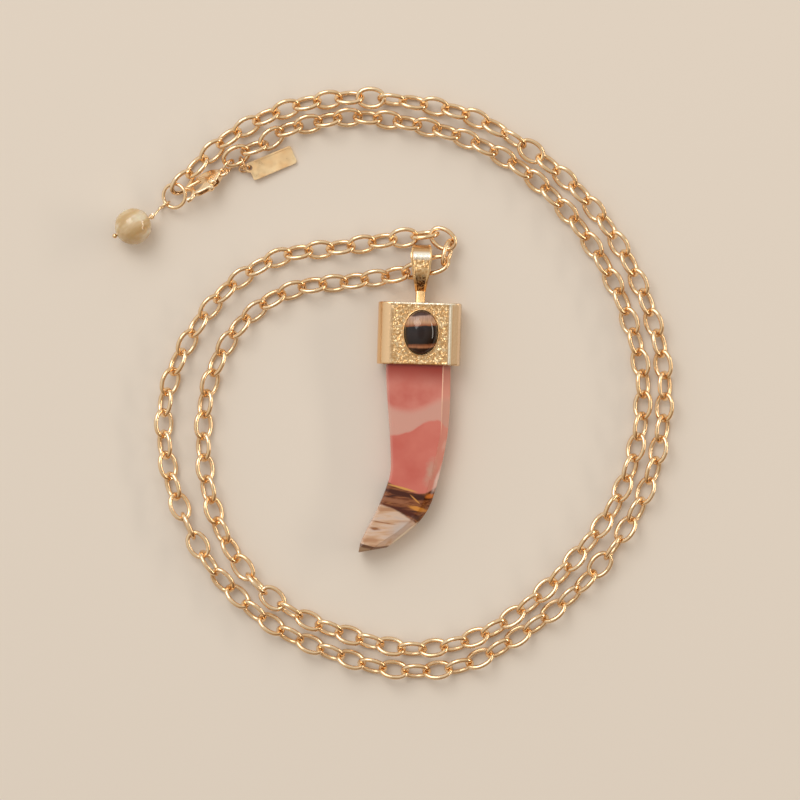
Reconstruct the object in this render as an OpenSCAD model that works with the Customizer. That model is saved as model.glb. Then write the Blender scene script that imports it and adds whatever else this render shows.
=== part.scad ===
// Tusk pendant on a long oval-link chain, laid out in a doubled spiral as it rests on a surface.
// X runs right, Y runs up the pendant's bail side, Z runs up from the surface. Millimetres.

/* [Chain] */
// Outer length of one oval link
link_l = 6.8; // [6.75:0.05:6.9]
// Outer width of one oval link
link_w = 5; // [4.8:0.05:5.1]
// Diameter of the link's round wire
link_wire = 0.9; // [0.85:0.01:0.92]
// Number of links from the jump ring round to the clasp
link_count = 165; // [164:1:166]

/* [Cap] */
// Width of the cast cap across the tooth
cap_w = 18.2; // [17.8:0.1:18.6]
// Height of the cap along the tooth
cap_h = 13.6; // [13:0.1:14.2]
// Thickness of the cap from back to front
cap_t = 7.4; // [7.2:0.1:7.6]
// Depth of the socket that holds the tooth
socket_depth = 10.4; // [9.6:0.1:11]

/* [Bail] */
// Height of the bail's loop above its neck
bail_h = 9.8; // [9.6:0.1:10]
// Depth of the bail's loop from back to front
bail_t = 6.8; // [6.6:0.1:7]
// Thickness of the bail's strap
bail_wall = 0.7; // [0.6:0.05:0.75]

/* [Tooth] */
// Thickness of the tooth's slab
tooth_t = 5.6; // [5.2:0.1:5.8]
// Width of the ground bevel along the tooth's outer curve
tooth_bevel = 1.7; // [1.2:0.1:2]
// Width of the rounded edge along the tooth's inner curve
tooth_round = 1; // [0.6:0.1:1.3]

/* [Stone] */
// Width of the oval cabochon
stone_w = 8; // [7.8:0.1:8.2]
// Height of the oval cabochon
stone_h = 10; // [9.8:0.1:10.2]
// Rise of the cabochon above the cap's face
stone_t = 3; // [2.4:0.1:3.6]
// Thickness of the bezel's wall
bezel_wall = 0.4; // [0.3:0.05:0.5]
// Height of the bezel's wall
bezel_h = 0.8; // [0.6:0.1:1.2]

/* [Clasp] */
// Length of the trigger clasp from its eye to its hook
clasp_l = 13.2; // [13:0.1:13.4]
// Diameter of the clasp's hook
clasp_wire = 1.15; // [1.05:0.05:1.2]
// How far the clasp lies rolled onto its side, in degrees
clasp_roll = 45; // [42:1:48]

/* [Rings] */
// Outer diameter of the jump ring that the clasp hooks
ring_d = 6; // [5.9:0.05:6.1]
// Wire of that jump ring
ring_wire = 0.8; // [0.75:0.01:0.82]
// Outer diameter of the ring between the clasp and the chain
small_ring_d = 4; // [3.95:0.01:4.05]

/* [Bead] */
// Diameter of the round bead
bead_d = 8; // [7.8:0.1:8]
// Diameter of the hole drilled through the bead
bead_bore = 0.9; // [0.8:0.05:1]
// Diameter of the head pin's wire
pin_d = 0.55; // [0.5:0.01:0.58]

/* [Tag] */
// Length of the bare tag
tag_l = 10.3; // [9.8:0.1:10.6]
// Width of the bare tag
tag_w = 4.1; // [3.8:0.1:4.2]
// Thickness of the bare tag
tag_t = 0.6; // [0.5:0.05:0.65]

/* [Hidden] */

// Smoothness of true round shapes
fine = 48;
// Small gap between two pieces that are set into each other
fit = 0.12;

// The pendant's place: the centre of the cap's back on the surface, and its turn
pendant_at = [5.58, 10.79, 0];
pendant_turn = -1.7;

// The chain's way from the jump ring round to the bail, through it and back to the clasp.
// Columns: x, y, lift above the height at which the links rest
ROUTE = [
    [-47.94, 42.32, 0.38], [-44.54, 46.02, 0], [-36.04, 54.02, 0], [-23.44, 60.22, 0], [-10.04, 62.62, 0],
    [3.76, 61.62, 0], [17.56, 58.32, 0], [29.96, 51.02, 0], [40.86, 41.82, 0], [49.26, 30.72, 0],
    [55.46, 17.82, 0], [59.16, 4.12, 0], [58.96, -9.88, 0], [55.16, -23.98, 0], [47.86, -36.58, 0],
    [38.26, -47.18, 0], [26.76, -55.88, 0], [14.36, -62.18, 0], [-0.14, -62.88, 0], [-13.94, -58.98, 0],
    [-27.04, -52.78, 0], [-38.04, -42.68, 0], [-45.24, -30.98, 0], [-49.64, -17.78, 0], [-50.14, -3.78, 0],
    [-45.04, 9.42, 0], [-36.44, 20.72, 0], [-24.84, 27.82, 0], [-10.94, 29.82, 0], [1.56, 31.82, 0],
    [9.36, 32.32, 0.1], [12.96, 29.72, 1.3], [10.06, 26.32, 1.8], [5.96, 25.02, 1.9], [1.56, 23.92, 1.2],
    [-8.84, 22.32, 0], [-22.64, 20.42, 0], [-33.84, 12.62, 0], [-40.44, 0.02, 0], [-41.74, -14.28, 0],
    [-39.34, -28.58, 0], [-32.94, -40.68, 0], [-22.84, -49.88, 0], [-9.14, -55.48, 0], [4.26, -58.38, 0],
    [17.86, -55.88, 0], [29.76, -48.48, 0], [39.66, -38.58, 0], [48.06, -27.48, 0], [53.16, -14.28, 0],
    [54.76, -0.18, 0], [51.56, 14.12, 0], [45.96, 26.32, 0], [37.76, 37.92, 0], [27.46, 47.42, 0],
    [15.36, 53.82, 0], [2.26, 57.22, 0], [-9.44, 58.42, 0], [-17.74, 57.02, 0],
    [-24.34, 55.42, 0], [-28.14, 52.52, 0], [-32.34, 50.92, 0.4], [-36.49, 48.82, 0.35]
];

// How the even links are rolled about the chain's line; the odd links lie at right angles to them.
// Columns: link, roll in degrees
TWIST = [
    [0, 45], [1, 40], [9, 38], [12, -52], [16, -52], [19, 38], [38, 38], [42, -52], [59, -52], [65, 38],
    [83, 38], [85, 17], [91, 47], [108, 52], [114, -38], [160, -38], [164, -30]
];

// The links that turn through the bail, placed one by one.
// Columns: x, y, z of the link's first joint, roll of the link
BAIL_FIRST = 86;
BAIL_LINKS = [
    [9.19, 32.76, 2.53, 11], [12.39, 30.57, 2.94, -70], [11.04, 26.44, 4.55, 32],
    [7.15, 25.28, 4.22, -44], [2.64, 24.13, 3.29, 46]
];

// How far apart the links' joints lie: the chain is pulled straight or lies slack.
// Columns: link, spacing
SPACING = [
    [0, 4.72], [36, 4.72], [38, 4.82], [60, 4.82], [62, 4.67], [85, 4.67], [86, 4.1], [87, 4.2],
    [88, 4.6], [92, 4.6], [96, 4.73],
    [140, 4.7], [150, 4.6], [154, 4.4], [164, 4.4]
];

// Sections of the tooth from its top in the socket to its cut tip, seen in the pendant's own frame.
// Columns: left x, left y, right x, right y
TOOTH = [
    [-7.1, 3.4, 7.1, 3.4], [-7.1, -6.6, 7.1, -6.6], [-6.95, -10, 7.15, -10], [-6.45, -15.8, 7.2, -15.6],
    [-5.95, -20.7, 6.95, -20.9], [-5.55, -25.5, 6.35, -25.4], [-5.4, -29.5, 5.5, -29.9],
    [-5.85, -32.4, 4.65, -33.6], [-7.2, -36.4, 3.4, -37.6], [-8.7, -39.9, 1.2, -41.1],
    [-10.25, -43.1, -2.2, -44.3], [-11.55, -46.1, -5, -46.4], [-11.85, -48.1, -5.7, -46.9]
];

// Front outline of the bail. Columns: height above the cap's middle, half width
BAIL = [[6, 1], [9.6, 1.05], [11.5, 1.42], [13.3, 1.75], [15, 2.05], [17, 2.3], [18.8, 2.15], [19.8, 1.7]];

// The chain's line, as a smooth curve through the route's points
STEPS = 12;
function spline(a, b, c, d, t) =
    (2 * b + t * (c - a) + t^2 * (2 * a - 5 * b + 4 * c - d) + t^3 * (3 * b - a - 3 * c + d)) / 2;
function route_point(i) = ROUTE[max(0, min(len(ROUTE) - 1, i))];
line = [
    for (i = [0:len(ROUTE) - 2], k = [0:STEPS - 1])
        spline(route_point(i - 1), route_point(i), route_point(i + 1), route_point(i + 2), k / STEPS),
    route_point(len(ROUTE) - 1)
];
function step(i) = i < len(line) ? norm(line[i] - line[i - 1]) : 0;
run = [for (i = 0, s = 0; i < len(line); i = i + 1, s = s + step(i)) s];
line_x = [for (i = [0:len(line) - 1]) [run[i], line[i].x]];
line_y = [for (i = [0:len(line) - 1]) [run[i], line[i].y]];
line_lift = [for (i = [0:len(line) - 1]) [run[i], line[i].z]];

// The joints between the links, spread so that they fill the line
spread = [for (i = 0, s = 0; i <= link_count; s = s + lookup(i, SPACING), i = i + 1) s];
function reach(i) = spread[i] * run[len(run) - 1] / spread[link_count];
outer_links = 88;
chain_play = 0.06;
end_r = (link_w - link_wire) / 2;
side_l = link_l - link_w;
function placed(i) = i >= BAIL_FIRST && i < BAIL_FIRST + len(BAIL_LINKS);
function roll(i) = placed(i) ? BAIL_LINKS[i - BAIL_FIRST][3] : lookup(i, TWIST) - (i % 2 == 0 ? 0 : 90);
function rest_height(i) = link_wire / 2 + end_r * max(abs(sin(roll(i - 1))), abs(sin(roll(i))));
function on_line(i) = [lookup(reach(i), line_x), lookup(reach(i), line_y), lookup(reach(i), line_lift)];
function joint(i) = placed(i)
    ? [for (k = [0:2]) BAIL_LINKS[i - BAIL_FIRST][k]]
    : on_line(i) + [0, 0, rest_height(i) + chain_play];

// Hook line of the clasp, ring places and ring turns
clasp_turn = 212.7;
clasp_pitch = 7.1;
clasp_tail = [-36.36, 46.95, 2.15];
ring_at = [-48.09, 41.07, 2.52];
ring_tilt = [2.2, -18.9, 0];

// A closed ring of round wire, standing across X, by its outer diameter
module wire_ring(d, wire) {
    rotate_extrude($fn = fine)
        translate([(d - wire) / 2, 0])
            circle(d = wire, $fn = fine / 2);
}

// A straight round wire between two points
module wire_between(a, b, d) {
    v = b - a;
    translate(a)
        rotate([0, acos(v.z / norm(v)), atan2(v.y, v.x)])
            cylinder(d = d, h = norm(v), $fn = fine / 2);
}

// One oval link, long way along X: two half rings and two straight sides
module link() {
    for (turn = [0, 180])
        rotate(turn) {
            translate([side_l / 2, 0, 0])
                rotate(-90)
                    rotate_extrude(angle = 180, $fn = fine)
                        translate([end_r, 0])
                            circle(d = link_wire, $fn = fine / 2);
            translate([0, end_r, 0])
                rotate([0, 90, 0])
                    cylinder(d = link_wire, h = side_l, center = true, $fn = fine / 2);
        }
}

// The links from number a up to number b, each lying between two joints of the line
module links(a, b) {
    for (i = [a:b]) {
        span = joint(i + 1) - joint(i);
        translate((joint(i) + joint(i + 1)) / 2)
            rotate([0, -asin(span.z / norm(span)), atan2(span.y, span.x)])
                rotate([roll(i), 0, 0])
                    link();
    }
}

module chain_outer() {
    color("gold") links(0, outer_links - 1);
}

module chain_inner() {
    color("gold") links(outer_links, link_count - 1);
}

module pendant_frame() {
    translate(pendant_at)
        rotate(pendant_turn)
            children();
}

// Points round one corner, as part of a circle
function corner(centre, r, from, to, n = 8) =
    [for (k = [0:n]) let (a = from + (to - from) * k / n) centre + r * [cos(a), sin(a)]];

// The cap seen along the tooth: full round on the left, a crease and a short flank on the right
cap_round = 3.2;
crease_w = 2.3;
cap_section = concat(
    [[cap_w / 2 - crease_w, cap_t]],
    corner([-cap_w / 2 + cap_round, cap_t - cap_round], cap_round, 90, 180),
    corner([-cap_w / 2 + cap_round, cap_round], cap_round, 180, 270),
    corner([cap_w / 2 - cap_round, cap_round], cap_round, -90, 0),
    [[cap_w / 2, cap_t - 2.6], [cap_w / 2 - 0.4, cap_t - 1.4], [cap_w / 2 - 1.1, cap_t - 0.5]]
);

// The cap seen from the side: small bevels along the top edges
cap_edge = 0.5;
cap_side = [
    [-cap_h / 2, 0.3], [-cap_h / 2 + 0.3, 0], [cap_h / 2 - cap_edge, 0], [cap_h / 2, cap_edge],
    [cap_h / 2, cap_t - cap_edge], [cap_h / 2 - cap_edge, cap_t], [-cap_h / 2 + 0.3, cap_t],
    [-cap_h / 2, cap_t - 0.3]
];

// The bail seen from the side: an upright egg of two arcs round the given radii
bail_low = 9.8 + bail_t / 2 - 0.2;
bail_high = 9.8 + bail_h - bail_t / 2;
function egg(inset) = concat(
    corner([bail_high, cap_t / 2], bail_t / 2 - inset, -90, 90, 16),
    corner([bail_low, cap_t / 2], bail_t / 2 - 0.2 - inset, 90, 270, 16)
);

// An upright oval as a many-sided outline
function oval(w, h, n = 48) = [for (k = [0:n - 1]) [w / 2 * cos(k * 360 / n), h / 2 * sin(k * 360 / n)]];

// Where the stone sits on the cap
stone_at = [0.45, 0.4, cap_t];

// A profile drawn as (along Y, up Z) and drawn out along X to both sides
module across(width, profile) {
    rotate([90, 0, 90])
        linear_extrude(width, center = true)
            polygon(profile);
}

module bail() {
    intersection() {
        difference() {
            across(6, egg(0));
            across(8, egg(bail_wall));
        }
        linear_extrude(cap_t)
            polygon(concat(
                [for (row = BAIL) [row[1], row[0]]],
                [for (i = [len(BAIL) - 1:-1:0]) [-BAIL[i][1], BAIL[i][0]]]
            ));
    }
    // Neck between the cap and the loop
    translate([-1, cap_h / 2 - 0.3, cap_t / 2 - 1.2])
        cube([2, 3.7, 2.4]);
}

module cap_body() {
    intersection() {
        translate([0, cap_h / 2, 0])
            rotate([90, 0, 0])
                linear_extrude(cap_h)
                    polygon(cap_section);
        across(cap_w + 2, cap_side);
    }
}

module socket() {
    translate([-7.1 - fit, -cap_h / 2 - 1, cap_t / 2 - tooth_t / 2 - fit])
        cube([14.2 + 2 * fit, socket_depth + 1, tooth_t + 2 * fit]);
}

module bezel() {
    translate(stone_at)
        translate([0, 0, -0.2])
            linear_extrude(bezel_h + 0.2)
                difference() {
                    polygon(oval(stone_w + 2 * (bezel_wall + fit), stone_h + 2 * (bezel_wall + fit)));
                    polygon(oval(stone_w + 2 * fit, stone_h + 2 * fit));
                }
}

// The cast cap with its bezel and bail, one piece of metal
module cap() {
    color("goldenrod")
        pendant_frame() {
            difference() {
                cap_body();
                socket();
            }
            bezel();
            bail();
        }
}

// The cabochon: rings of an oval that shrink to a flat crown point
STONE_SIDES = 32;
// Columns: share of the full oval, share of the rise
STONE = [[1, 0], [1, 0.18], [0.95, 0.4], [0.84, 0.64], [0.66, 0.82], [0.42, 0.94], [0.16, 0.99]];
function stone_ring(row) = [
    for (k = [0:STONE_SIDES - 1])
        let (a = k * 360 / STONE_SIDES)
            [row[0] * stone_w / 2 * cos(a), row[0] * stone_h / 2 * sin(a), row[1] * stone_t]
];

// Side faces between rings that each hold n points, and the two end faces
function skin(rings, n) = concat(
    [[for (k = [0:n - 1]) k]],
    [
        for (r = [0:rings - 2], k = [0:n - 1])
            let (a = r * n + k, b = r * n + (k + 1) % n)
                each [[a, a + n, b], [b, a + n, b + n]]
    ],
    [[for (k = [n - 1:-1:0]) (rings - 1) * n + k]]
);

module cabochon() {
    color("saddlebrown")
        pendant_frame()
            translate(stone_at + [0, 0, 0.1])
                polyhedron([for (row = STONE) each stone_ring(row)], skin(len(STONE), STONE_SIDES));
}

// One section of the tooth between its left and right edge: bevelled on the right, rounded on the left
function tooth_section(row) =
    let (
        a = [row[0], row[1]], b = [row[2], row[3]], w = norm(b - a), back = (cap_t - tooth_t) / 2,
        bevel = min(tooth_bevel, w / 4), soft = min(tooth_round, w / 5), front = back + tooth_t,
        shape = [
            [0, back + 0.8], [0.8, back], [w - 0.8, back], [w, back + 0.8], [w, front - 0.7 * bevel],
            [w - bevel, front], [soft, front], [0.3 * soft, front - 0.3 * soft], [0, front - soft]
        ]
    )
    [for (p = shape) let (q = a + (b - a) * p[0] / w) [q[0], q[1], p[1]]];

module tooth() {
    color("indianred")
        pendant_frame()
            polyhedron([for (row = TOOTH) each tooth_section(row)], skin(len(TOOTH), 9));
}

module jump_ring() {
    color("gold")
        translate(ring_at)
            rotate(ring_tilt)
                wire_ring(ring_d, ring_wire);
}

// The bead drop: bead, head pin through it, wrapped neck and loop round the jump ring
bead_at = [-57.01, 34.28, bead_d / 2];
bead_turn = 27.5;
pin_out = bead_at + (bead_d / 2 + 1.2) * [cos(bead_turn), sin(bead_turn), 0];
loop_at = [-50.34, 39.05, 1.64];
loop_turn = 34;
loop_r = 1.35;
loop_top = loop_at + loop_r * [-0.7 * cos(loop_turn), -0.7 * sin(loop_turn), 0.714];

module bead() {
    color("khaki")
        translate(bead_at)
            rotate([0, 90, bead_turn])
                difference() {
                    sphere(d = bead_d, $fn = fine);
                    cylinder(d = bead_bore, h = bead_d + 2, center = true, $fn = fine / 2);
                }
}

// The head pin is one wire: its ball end, its way through the bead, the collar of wrapped turns,
// the stem down to the ring and the loop round it.
// Columns: way along the pin from the bead's centre, radius
PIN_WIRE = [
    [-5, 0.1], [-4.93, 0.3], [-4.75, 0.48], [-4.5, 0.54], [-4.25, 0.44], [-4.12, pin_d / 2],
    [4.15, pin_d / 2], [4.22, 0.62], [4.36, 0.66], [4.5, 0.58], [4.64, 0.66], [4.78, 0.66],
    [4.9, pin_d / 2], [5.1, pin_d / 2]
];
PIN_SIDES = 12;
loop_wire_r = 0.25;
loop_ways = [for (k = [0:24]) 134 - k * 320 / 24];
pin_line = concat(
    [for (row = PIN_WIRE) concat(bead_at + row[0] * [cos(bead_turn), sin(bead_turn), 0], row[1])],
    [concat((pin_out + loop_top) / 2, pin_d / 2)],
    [
        for (a = loop_ways)
            concat(loop_at + loop_r * [cos(a) * cos(loop_turn), cos(a) * sin(loop_turn), sin(a)], loop_wire_r)
    ]
);

// A ring of points round a wire's line at row i, lying square to the line
function xyz(row) = [row.x, row.y, row.z];
function wire_round(path, i) =
    let (
        ahead = xyz(path[min(i + 1, len(path) - 1)]) - xyz(path[max(i - 1, 0)]),
        t = ahead / norm(ahead), side = cross(t, [-sin(loop_turn), cos(loop_turn), 0]),
        u = side / norm(side), v = cross(t, u)
    )
    [
        for (k = [0:PIN_SIDES - 1])
            let (a = k * 360 / PIN_SIDES) xyz(path[i]) + path[i][3] * (cos(a) * u + sin(a) * v)
    ];

module head_pin() {
    color("gold")
        polyhedron(
            [for (i = [0:len(pin_line) - 1]) each wire_round(pin_line, i)],
            skin(len(pin_line), PIN_SIDES)
        );
}

// The trigger clasp in its own frame: eye at X = 0, hook at X = clasp_l, lever on the +Y side
hook_r = 1.8;
hook_x = clasp_l - clasp_wire / 2 - hook_r;
pivot = [4.4, 1];
pivot_d = 0.6;
cheek_t = 2.1;
slot_t = 1.1;
lever_t = 0.9;

module clasp_frame() {
    translate(clasp_tail)
        rotate([0, -clasp_pitch, clasp_turn])
            rotate([clasp_roll, 0, 0])
                children();
}

// The lever's rounded root, its arm and its thumb tab, seen from the front
lever_shape = [
    [4.2, 0.2], [6.2, 0.75], [9.1, 1.05], [9.25, 1.35], [9, 1.95], [6.6, 1.95], [6, 2.25], [5.7, 3.1],
    [5, 3.15], [4.8, 2.1], [4, 1.9]
];

module clasp_lever() {
    color("gold")
        clasp_frame()
            translate([0, 0, -lever_t / 2])
                linear_extrude(lever_t)
                    difference() {
                        union() {
                            translate(pivot) circle(r = 0.95, $fn = fine);
                            polygon(lever_shape);
                        }
                        translate(pivot) circle(d = pivot_d + 0.1, $fn = fine);
                    }
}

// The clasp's body seen from the front: a neck at the eye and a cheek round the pivot
body_shape = [
    [1.9, -0.5], [3, -1.7], [4.6, -2.35], [6.2, -2.35], [7, -1.9], [6, -1.2], [5.1, -0.6], [5.2, 0.4],
    [5.4, 1.2], [5, 1.9], [4.2, 2.1], [3.3, 1.6], [2.6, 0.8], [1.9, 0.5]
];

module clasp_body() {
    color("gold")
        clasp_frame() {
            translate([1.3, 0, 0])
                wire_ring(2.7, 0.8);
            difference() {
                translate([0, 0, -cheek_t / 2])
                    linear_extrude(cheek_t)
                        polygon(body_shape);
                translate([3.2, -0.25, -slot_t / 2])
                    cube([6, 4, slot_t]);
            }
            translate([4, -hook_r, 0])
                rotate([0, 90, 0])
                    cylinder(d = clasp_wire, h = hook_x - 4, $fn = fine / 2);
            translate([hook_x, 0, 0])
                rotate(-90)
                    rotate_extrude(angle = 200, $fn = fine)
                        translate([hook_r, 0])
                            circle(d = clasp_wire, $fn = fine / 2);
            translate([pivot.x, pivot.y, 0])
                cylinder(d = pivot_d, h = cheek_t, center = true, $fn = fine / 2);
        }
}

module clasp_ring() {
    color("gold")
        translate([-36.34, 47.5, 1.96])
            rotate([0, 0, 53.6])
                rotate([72, 0, 0])
                    wire_ring(small_ring_d, 0.6);
}

module tag_ring_upper() {
    color("gold")
        translate([-33.34, 48.27, 1.9])
            rotate([0, 0, -75])
                rotate([74, 0, 0])
                    wire_ring(3.25, 0.45);
}

module tag_ring_lower() {
    color("gold")
        translate([-32.79, 47.12, 1.23])
            rotate([0, 0, 10])
                rotate([58, 0, 0])
                    wire_ring(2.7, 0.4);
}

// The bare tag: a plate with rounded corners and a lug with a hole, tipped down towards its far end
module tag() {
    hole = [0.16, 0.9];
    color("gold")
        translate([-31.44, 46.37, 1.15])
            rotate([0, 4.2, 23])
                linear_extrude(tag_t, center = true)
                    difference() {
                        union() {
                            polygon(concat(
                                corner([tag_l - 0.5, tag_w / 2 - 0.5], 0.5, 0, 90, 4),
                                corner([0.5, tag_w / 2 - 0.5], 0.5, 90, 180, 4),
                                corner([0.5, -tag_w / 2 + 0.5], 0.5, 180, 270, 4),
                                corner([tag_l - 0.5, -tag_w / 2 + 0.5], 0.5, 270, 360, 4)
                            ));
                            translate(hole) circle(r = 1.05, $fn = fine);
                        }
                        translate(hole) circle(r = 0.62, $fn = fine);
                    }
}

tooth();
cap();
cabochon();
chain_outer();
chain_inner();
jump_ring();
bead();
head_pin();
clasp_body();
clasp_lever();
clasp_ring();
tag_ring_upper();
tag_ring_lower();
tag();
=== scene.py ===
# %% [markdown]
# # A banded stone tusk on a long gold chain
# The necklace lies in a spiral on a table: a gold cable chain that runs round twice, a cast cap with
# a loop that carries a polished tusk of banded glass stone, an oval cabochon in the cap, a trigger
# clasp, a jump ring with a small bead drop, and a plain tag. The solids of the part come in as a
# fixed frame, in metres. Every piece made here is put where its solid lies: the links and rings at
# places measured off their solids, the other pieces at places given in millimetres.

# %% Load the fixed frame
import math

import bpy
import numpy as np
from mathutils import Matrix, Vector


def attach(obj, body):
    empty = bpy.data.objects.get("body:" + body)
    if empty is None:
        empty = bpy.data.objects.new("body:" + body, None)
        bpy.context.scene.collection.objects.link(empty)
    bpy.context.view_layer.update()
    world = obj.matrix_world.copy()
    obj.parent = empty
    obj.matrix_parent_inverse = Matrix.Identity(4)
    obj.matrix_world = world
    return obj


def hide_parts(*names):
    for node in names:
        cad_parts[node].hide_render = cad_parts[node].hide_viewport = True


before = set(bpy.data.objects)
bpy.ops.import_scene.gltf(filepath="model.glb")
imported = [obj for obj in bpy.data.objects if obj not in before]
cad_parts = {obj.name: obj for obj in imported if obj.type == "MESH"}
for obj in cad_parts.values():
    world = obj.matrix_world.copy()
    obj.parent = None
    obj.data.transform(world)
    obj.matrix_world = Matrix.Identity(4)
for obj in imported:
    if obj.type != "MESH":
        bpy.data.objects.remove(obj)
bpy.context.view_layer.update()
MM = 0.001

# %% [markdown]
# ## The camera
# The picture was taken from straight above, so the camera looks down and the picture's up is the
# +Y way. A long lens high above the table keeps both ends of the chain free of perspective. The
# distance and the lens together show a square of the table 176 mm wide.

# %% Put up the camera
VIEW_WIDTH = 176.0
CAMERA_HEIGHT = 700.0
VIEW_CENTRE = (1.38, -3.69)
SENSOR = 36.0

bpy.ops.object.camera_add(location=(VIEW_CENTRE[0] * MM, VIEW_CENTRE[1] * MM, CAMERA_HEIGHT * MM))
camera = bpy.context.object
camera.data.sensor_width = SENSOR
camera.data.lens = SENSOR * CAMERA_HEIGHT / VIEW_WIDTH
camera.data.clip_start = 0.05
camera.data.clip_end = 10
bpy.context.scene.camera = camera
print("lens", round(camera.data.lens, 1), "mm")

# %% [markdown]
# ## The table and the light
# Gold shows what is round it more than its own colour, so the light matters as much as the metal.
# The sky is a soft slope of light: white towards a window at the upper left, warm and dim towards
# the lower right, and a little dimmer straight overhead, where the camera would stand. That gives
# each wire a pale side and a brown side. A large lamp in the window's place makes the soft shadows
# and the near-white glints, and a weak strip at the right gives the other sides a thin glint. The
# table is a plain pale sheet, which sends warm light back up into the undersides.

# %% Helpers for colours and materials
def linear(code):
    """Turns an sRGB hex colour into the linear numbers that a shader works with."""
    parts = [int(code[i:i + 2], 16) / 255 for i in (1, 3, 5)]
    return [v / 12.92 if v <= 0.04045 else ((v + 0.055) / 1.055) ** 2.4 for v in parts] + [1.0]


def add_node(tree, kind, sockets=None, stops=None, points=None, **settings):
    """Adds a shader node: its own settings by name, its sockets by name with a value or another
    node's socket, a colour ramp's stops as (place, hex colour), a curve's points as (in, out)."""
    node = tree.nodes.new("ShaderNode" + kind)
    for name, value in settings.items():
        setattr(node, name, value)
    for name, value in (sockets or {}).items():
        if isinstance(value, bpy.types.NodeSocket):
            tree.links.new(value, node.inputs[name])
        else:
            node.inputs[name].default_value = value
    if stops:
        ramp = node.color_ramp.elements
        while len(ramp) < len(stops):
            ramp.new(0.5)
        for element, (place, code) in zip(ramp, stops):
            element.position = place
            element.color = linear(code)
    if points:
        curve = node.mapping.curves[0]
        while len(curve.points) < len(points):
            curve.points.new(0.5, 0.5)
        for point, at in zip(curve.points, points):
            point.location = at
        node.mapping.update()
    return node


def new_material(name):
    """A material with its main shader, and its node tree."""
    material = bpy.data.materials.new(name)
    material.use_nodes = True
    tree = material.node_tree
    return material, tree, tree.nodes["Principled BSDF"]

# %% Light the table
WINDOW_WAY = (-0.45, 0.62, 0.64)
OVERHEAD, OVERHEAD_DIM = (0.93, 0.99), 0.62
SKY_STRENGTH = 0.82

world = bpy.data.worlds.new("soft_studio")
bpy.context.scene.world = world
world.use_nodes = True
sky = world.node_tree
direction = add_node(sky, "TexCoord")
towards_window = add_node(sky, "VectorMath", {0: direction.outputs["Generated"],
                          1: WINDOW_WAY}, operation="DOT_PRODUCT")
share = add_node(sky, "MapRange", {"Value": towards_window.outputs["Value"], "From Min": -1.0})
sky_colours = add_node(sky, "ValToRGB", {"Fac": share.outputs[0]}, stops=[
    (0.22, "#6E4E36"), (0.42, "#B2987A"), (0.62, "#DDD3C6"), (0.9, "#FFFFFF")])
height = add_node(sky, "SeparateXYZ", {"Vector": direction.outputs["Generated"]})
overhead = add_node(sky, "MapRange", {"Value": height.outputs["Z"], "From Min": OVERHEAD[0],
                    "From Max": OVERHEAD[1], "To Min": 1.0, "To Max": OVERHEAD_DIM})
sky_light = add_node(sky, "VectorMath", {0: sky_colours.outputs["Color"],
                     "Scale": overhead.outputs[0]}, operation="SCALE")
background = sky.nodes["Background"]
sky.links.new(sky_light.outputs[0], background.inputs["Color"])
background.inputs["Strength"].default_value = SKY_STRENGTH

LAMPS = [
    # name, place in mm, width and length in mm, watts, colour
    ("window_upper_left", (-500, 760, 1100), (760, 900), 7.0, "#FFFCF8"),
    ("strip_right", (1100, 160, 460), (1000, 130), 3.2, "#FFF6EA"),
]
for name, spot, (width, length), watts, colour in LAMPS:
    bpy.ops.object.light_add(type="AREA", location=[v * MM for v in spot])
    lamp = bpy.context.object
    lamp.name = name
    lamp.data.shape = "RECTANGLE"
    lamp.data.size = width * MM
    lamp.data.size_y = length * MM
    lamp.data.energy = watts
    lamp.data.color = linear(colour)[:3]
    lamp.rotation_euler = (-Vector(spot)).to_track_quat("-Z", "Y").to_euler()

bpy.ops.mesh.primitive_plane_add(size=4, location=(0, 0, 0))
table = bpy.context.object
table.name = "table"
paper, tree, shader = new_material("matt_table_paper")
shader.inputs["Base Color"].default_value = linear("#E4DACD")
shader.inputs["Roughness"].default_value = 0.9
shader.inputs["Specular IOR Level"].default_value = 0.2
table.data.materials.append(paper)
bpy.context.scene.view_settings.view_transform = "Standard"
print("lamps:", len(LAMPS))

# %% [markdown]
# ## Ways of working
# Most operators act on whatever is selected, so each step first lets go of everything, takes up
# one object, and picks its faces or edges by where they are. What is picked stays picked in edit
# mode for the next helper to act on, and a helper that needs object mode goes back to it. A
# finished piece keeps its place in its own mesh: its object sits at the origin, so patterns that
# read object coordinates stay put.

# %% Helpers for modelling
def metres(*sizes):
    """Sizes in mm as metres."""
    return [v * MM for v in sizes]


def leave_edit():
    """Back to object mode, where a mesh can be read."""
    if bpy.context.object and bpy.context.object.mode != "OBJECT":
        bpy.ops.object.mode_set(mode="OBJECT")


def take(*objects):
    """Selects only these objects, with the last one active."""
    leave_edit()
    bpy.ops.object.select_all(action="DESELECT")
    for item in objects:
        item.select_set(True)
    bpy.context.view_layer.objects.active = objects[-1]


def pick_all():
    """In edit mode: selects the whole of the active piece."""
    bpy.ops.object.mode_set(mode="EDIT")
    bpy.ops.mesh.select_all(action="SELECT")


def turn_outwards():
    """Turns every face outwards, and leaves edit mode."""
    pick_all()
    bpy.ops.mesh.normals_make_consistent(inside=False)
    leave_edit()


def close_ends():
    """In edit mode: closes every open end with a flat face."""
    bpy.ops.mesh.select_mode(type="EDGE")
    bpy.ops.mesh.select_all(action="DESELECT")
    bpy.ops.mesh.select_non_manifold(extend=False)
    bpy.ops.mesh.edge_face_add()
    turn_outwards()


def modify(piece, kind, **settings):
    """Adds a modifier and applies it at once."""
    take(piece)
    modifier = piece.modifiers.new(kind.lower(), kind)
    for name, value in settings.items():
        setattr(modifier, name, value)
    bpy.ops.object.modifier_apply(modifier=modifier.name)


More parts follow.
